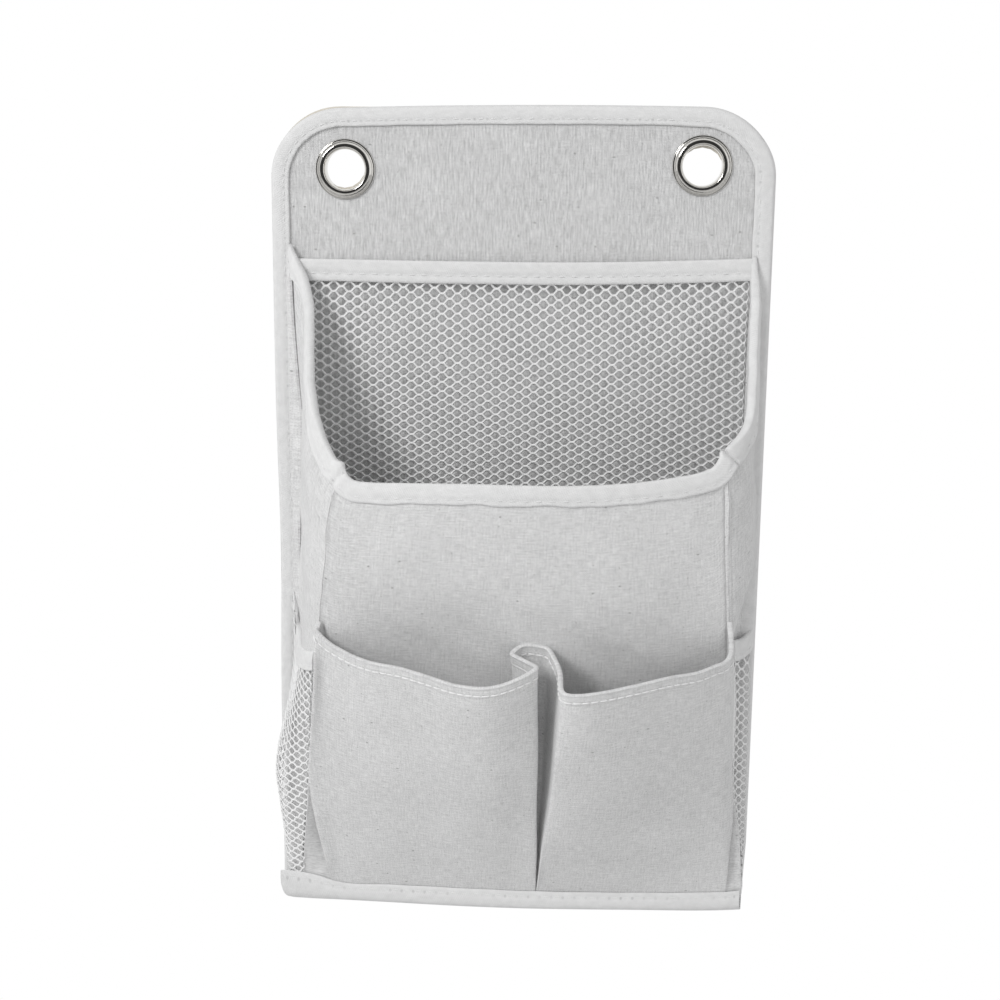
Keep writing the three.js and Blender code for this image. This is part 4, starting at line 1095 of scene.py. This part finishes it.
def hem_row():
    """Row across the panel at the height of the hem's stitches; it ends where the right pocket turns in."""
    row = np.searchsorted(pocket_run, HEM_SEAM)
    points = pocket_points[row]
    return sewn(points, pocket_out[row], np.arange(4.0, lengths(points)[-1] - 13, 3.4), 0.5)


hem_stitches = stitches("hem_stitches", *hem_row(), hem_thread, length=3.6, diameter=0.7)


def pleat_row():
    """Seam down the back of the pleat, which holds it on the main pocket."""
    middle = sum(ACROSS[k] - 1 for k in ("seam", "tuck", "front", "side")) + ACROSS["back"] // 2
    points = pocket_points[8:-6, middle]
    return sewn(points, pocket_out[8:-6, middle], np.arange(2.0, lengths(points)[-1], 4.6), 0.38)


pleat_stitches = stitches("pleat_stitches", *pleat_row(), white_thread, length=3.0, diameter=0.5)


# Side net pockets

# Flat height of the side nets
SIDE_HEIGHT = 117.0
# Rows of points down each net, from its rear edge round to the front seam, and their shares of its height
SIDE_LEVELS = (0, 0.08, 0.2, 0.35, 0.52, 0.69, 0.88, 1)
SIDE_ROWS = {
    -1: [[(-95.2, -4.6, -172.5), (-94.3, -5.1, -175.7), (-93.2, -5.9, -180), (-91.7, -7.2, -186.6),
          (-90.3, -11.6, -192.8),
          (-88.5, -19.9, -194.6), (-85.9, -28.4, -193.9), (-82.8, -36, -192.6), (-79.1, -42, -191)],
         [(-93.8, -7.6, -183.1), (-93.5, -8.2, -186.1), (-92.9, -8.8, -190), (-92, -9.9, -196),
          (-91.1, -13.9, -201.7),
          (-89.6, -21.2, -203.3), (-87.2, -28.6, -202.7), (-84, -35, -201.4), (-80.1, -40, -200)],
         [(-93.1, -7.6, -199), (-93.5, -8.4, -201.6), (-93.5, -9.4, -205), (-93.4, -10.7, -210.1),
          (-93, -14.4, -215.1),
          (-91.9, -21, -216.5), (-89.5, -27.4, -215.8), (-86.2, -32.9, -214.7), (-81.7, -36.8, -213.4)],
         [(-94.1, -7.6, -218.9), (-95.6, -8.8, -220.9), (-96.4, -10, -223.7), (-97.1, -11.7, -227.8),
          (-97, -15.2, -231.8),
          (-94.9, -20.8, -232.8), (-92.1, -26.1, -232.3), (-88.1, -30.3, -231.3), (-82.7, -33, -230.2)],
         [(-97.1, -7.6, -241.4), (-98.9, -9, -242.9), (-100.3, -10.4, -244.9), (-101.1, -12.2, -247.9),
          (-100.9, -15.3, -250.7),
          (-99.0, -19.8, -251.4), (-95.2, -23.7, -250.9), (-89.9, -26.6, -250.1), (-83.7, -28.1, -249.2)],
         [(-99, -7.6, -263.9), (-99.8, -8.7, -264.8), (-100.2, -9.8, -266.1), (-100.2, -11.2, -267.9),
          (-99.6, -13.4, -269.7),
          (-97.8, -16.6, -270), (-94.8, -19.2, -269.6), (-90.9, -21.2, -268.9), (-85.9, -22.2, -268.3)],
         [(-98.6, -7.6, -289.1), (-98.7, -8.2, -289.4), (-98.6, -8.8, -289.8), (-98.2, -9.5, -290.3),
          (-97.3, -10.6, -290.8),
          (-95.9, -12.1, -290.8), (-93.9, -13.3, -290.4), (-91.5, -14.2, -290), (-88.8, -14.7, -289.6)],
         [(-98.4, -7.6, -305), (-98.1, -7.8, -304.9), (-97.5, -7.9, -304.7), (-96.7, -8.2, -304.5),
          (-95.7, -8.4, -304.2),
          (-94.4, -8.6, -303.9), (-93, -8.8, -303.6), (-91.6, -8.9, -303.3), (-90.3, -9, -303)]],
    1: [[(98.1, -5, -187.2), (97.4, -6.4, -188.6), (95.5, -9, -190.4), (93.2, -11.2, -191),
         (90.9, -13.4, -190.8),
         (89.3, -17.4, -189.6), (88, -26, -187), (87.1, -36, -184.1), (86.7, -43.6, -181.6)],
        [(98.9, -7.2, -204.5), (97.8, -8.6, -204), (96, -10, -203.6), (93.9, -11.5, -203.1),
         (91.7, -13.6, -202.6),
         (90.3, -18.4, -200.9), (89.4, -27, -198.1), (88.4, -36, -195.2), (87.4, -43.2, -192.5)],
        [(99.3, -7.4, -218.5), (98, -8.8, -218), (96.1, -10.6, -217.5), (94, -12.4, -216.9),
         (92.3, -14.8, -216.1),
         (91.2, -20, -214.3), (90.2, -27, -211.8), (89.3, -34, -209.4), (88.2, -40.2, -206)],
        [(99.6, -7.5, -236.3), (98.4, -8.8, -235.8), (96.4, -10.5, -235.2), (94.4, -12.2, -234.7),
         (92.7, -14.6, -233.8),
         (91.6, -19, -232.2), (90.7, -25, -229.9), (90, -30, -228), (89.2, -35.4, -224)],
        [(99.8, -7.6, -254.3), (98.6, -8.7, -253.9), (96.8, -10.2, -253.3), (94.7, -11.8, -252.7),
         (93, -14, -251.9),
         (92.1, -17.5, -250.5), (91.4, -22, -248.7), (90.9, -26, -247), (90.7, -30.2, -244.5)],
        [(99.9, -7.7, -272.4), (99.1, -8.6, -272.1), (97.8, -9.8, -271.6), (96.6, -11, -271.1),
         (95.6, -12.6, -270.4),
         (94.8, -15, -269.4), (94.3, -17.5, -268.4), (93.9, -19.5, -267.5), (94, -21.4, -266)],
        [(99.7, -7.8, -288.5), (99.3, -8.3, -288.3), (98.9, -9, -288), (98.4, -9.8, -287.6),
         (98.1, -10.8, -287.2),
         (97.7, -12, -286.7), (97.5, -13, -286.2), (97.3, -13.8, -285.8), (97.2, -14.6, -285.4)],
        [(99.1, -8, -304.4), (99, -8.3, -304.3), (98.9, -8.6, -304.1), (98.9, -8.9, -304), (98.8, -9.2, -303.8),
         (98.7, -9.5, -303.7), (98.6, -9.8, -303.6), (98.6, -10.1, -303.4), (98.5, -10.4, -303.3)]]}


def side_net_grid(side):
    """Side net: smooth curves through its rows of points, and smooth curves down from row to row."""
    share = np.linspace(0, 1, 81)
    return spline(SIDE_LEVELS, np.stack([through(row, share) for row in SIDE_ROWS[side]]), share)


def read(grid, across, down):
    """Reads a grid at shares across and down, in straight lines between its points."""
    a, d = across * (grid.shape[1] - 1), down * (grid.shape[0] - 1)
    i, j = np.minimum(a.astype(int), grid.shape[1] - 2), np.minimum(d.astype(int), grid.shape[0] - 2)
    s, t = (a - i)[:, None], (d - j)[:, None]
    return mix(mix(grid[j, i], grid[j, i + 1], s), mix(grid[j + 1, i], grid[j + 1, i + 1], s), t)


def side_net_flat(side, grid):
    """Places on a side net's grid from flat coordinates that start at its rear edge, with normals, and which cells
    are kept: those whose middle lies on the net or just past its front edge."""
    out = normals(grid)
    out = out * np.sign(out[..., 0].mean() * side)
    widths = np.linalg.norm(np.diff(grid, axis=1), axis=-1).sum(1)

    def width(flat):
        return np.interp(-flat[:, 1] / SIDE_HEIGHT, np.linspace(0, 1, len(widths)), widths)

    def place(flat):
        down = np.clip(-flat[:, 1] / SIDE_HEIGHT, 0, 1)
        across = np.clip(squeezed(flat[:, 0], 0.2, width(flat)) / width(flat), 0, 1)
        return read(grid, across, down), unit(read(out, across, down))

    def held(centre):
        return (centre[:, 0] > 0) & (centre[:, 0] < width(centre) + 1)

    return place, held


side_nets, side_bands, band_stitches = {}, {}, {}
for label, side in SIDES:
    grid = side_net_grid(side)
    place, held = side_net_flat(side, grid)
    side_nets[side] = six_sided_net(f"{label}_net_weave", (-4, -SIDE_HEIGHT), (64, -1), place, white_net, held)
    top = grid[0]
    way = path_ways(top)
    fall = unit(grid[5] - top)
    out = unit(np.cross(way, fall))
    out = out * np.sign(out[35, 0] * side)
    section = dimpled(tape_section(0.9, 0.9, BAND_WIDTH, 0.2), lengths(top), BAND_WIDTH, 71 + side)
    side_bands[side] = loft(f"{label}_band_tape", top, out, fall, section, pocket_tape)
    band_stitches[side] = row_of_stitches(f"{label}_band_stitches", top, out, fall, way, 1.0, BAND_WIDTH)


# What each piece stands for, and its finish

for made, nodes, finish in (
        (panel_face, ["back_face"], "back_cloth"), (panel_lining, ["back_lining"], "back_cloth"),
        (edge_binding, ["edge_tape"], "white_tape"), (bottom_binding, ["bottom_tape"], "white_tape"),
        (flat_net, ["net_panel"], "white_net"), (net_binding, ["net_tape"], "white_tape"),
        (pocket_front, ["main_pocket_front"], "pocket_cloth"), (mouth_binding, ["mouth_tape"], "white_tape"),
        (front_pockets, ["front_pocket_panel"], "pocket_cloth"),
        (left_gusset, ["left_gusset"], "pocket_cloth"), (right_gusset, ["right_gusset"], "pocket_cloth"),
        (side_nets[-1], ["left_side_net"], "white_net"), (side_nets[1], ["right_side_net"], "white_net"),
        (side_bands[-1], ["left_side_band"], "white_tape"), (side_bands[1], ["right_side_band"], "white_tape"),
        (edge_stitches, ["edge_thread"], "white_thread"), (bottom_stitches, ["bottom_thread"], "white_thread"),
        (net_stitches, ["net_tape_thread"], "white_thread"), (mouth_stitches, ["mouth_thread"], "white_thread"),
        (hem_stitches, ["hem_thread"], "white_thread"), (pleat_stitches, ["pleat_thread"], "white_thread"),
        (band_stitches[-1], [], "white_thread"), (band_stitches[1], [], "white_thread")):
    if nodes:
        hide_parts(*nodes)

stiffener = bpy.data.objects["stiffener_sheet"]
stiffener.data.materials.clear()
stiffener.data.materials.append(board)


# Camera, stage and light

CAMERA_ANGLES = (2.7, 12.7, 0.59)
CAMERA_TARGET = (-7.56, 0, -136.17)
CAMERA_DISTANCE = 0.7
SENSOR = 36.0
FOCAL_SHARE = 1.678
FLOOR = -0.75


def aim(azimuth, elevation, roll):
    """Unit ways to the right, up and back of a camera at these angles in degrees."""
    a, e, r = (math.radians(t) for t in (azimuth, elevation, roll))
    back = np.array([math.sin(a) * math.cos(e), -math.cos(a) * math.cos(e), math.sin(e)])
    right = unit(np.cross(-back, [0, 0, 1.0]))
    up = np.cross(back, right)
    return right * math.cos(r) + up * math.sin(r), up * math.cos(r) - right * math.sin(r), back


def stand(name, data, right, up, back, place):
    """Puts a camera or a lamp in the scene at a place in metres, with its ways to the right, up and back."""
    thing = bpy.data.objects.new(name, data)
    turn = np.eye(4)
    turn[:3] = np.stack([right, up, back, place], -1)
    thing.matrix_world = Matrix(turn.tolist())
    bpy.context.scene.collection.objects.link(thing)
    return thing


lens = bpy.data.cameras.new("camera")
lens.sensor_width = SENSOR
lens.lens = SENSOR * FOCAL_SHARE
lens.clip_start = 0.01
right, up, back = aim(*CAMERA_ANGLES)
bpy.context.scene.camera = stand(
    "camera", lens, right, up, back, np.array(CAMERA_TARGET) * MM + back * CAMERA_DISTANCE)

floor_mesh = bpy.data.meshes.new("floor")
floor_mesh.from_pydata([(-3, -3, FLOOR), (3, -3, FLOOR), (3, 0.6, FLOOR), (-3, 0.6, FLOOR)], [], [(0, 1, 2, 3)])
floor_mesh.materials.append(matte_floor("painted_floor"))
floor = bpy.data.objects.new("floor", floor_mesh)
bpy.context.scene.collection.objects.link(floor)


def lamp(name, place, target, size, power):
    """Square area lamp at a place in metres, facing a target."""
    data = bpy.data.lights.new(name, "AREA")
    data.size = size
    data.energy = power
    back = unit(np.array(place, float) - np.array(target, float))
    right = unit(np.cross([0, 0, 1.0], back))
    stand(name, data, right, np.cross(back, right), back, place)


lamp("key_light", (-1.23, -1.23, 0.9), (0, 0, -0.13), 0.7, 19.8)
lamp("fill_light", (1.6, -1.3, 0.2), (0, 0, -0.15), 1.6, 4.7)

world = bpy.data.worlds.new("studio")
world.use_nodes = True
tree = world.node_tree
tree.nodes.clear()
rays = node(tree, "ShaderNodeLightPath")
# The sky lights the cloth at about half strength, shows as white, and is dim in front, where metal mirrors it
way = parted(tree, node(tree, "ShaderNodeTexCoord").outputs["Generated"])
room = ranged(tree, way["Y"], 0.04, 1.0, -0.75, -0.2)
strength = 0.55
for kind, value in (("Is Camera Ray", 1.0), ("Is Glossy Ray", room), ("Is Transmission Ray", 1.0)):
    strength = node(tree, "ShaderNodeMix", {0: rays.outputs[kind], 2: strength, 3: value},
                    data_type="FLOAT").outputs[0]
sky = node(tree, "ShaderNodeBackground", {"Color": (1, 1, 1, 1), "Strength": strength})
node(tree, "ShaderNodeOutputWorld", {"Surface": sky.outputs[0]})
bpy.context.scene.world = world
bpy.context.scene.view_settings.view_transform = "Standard"
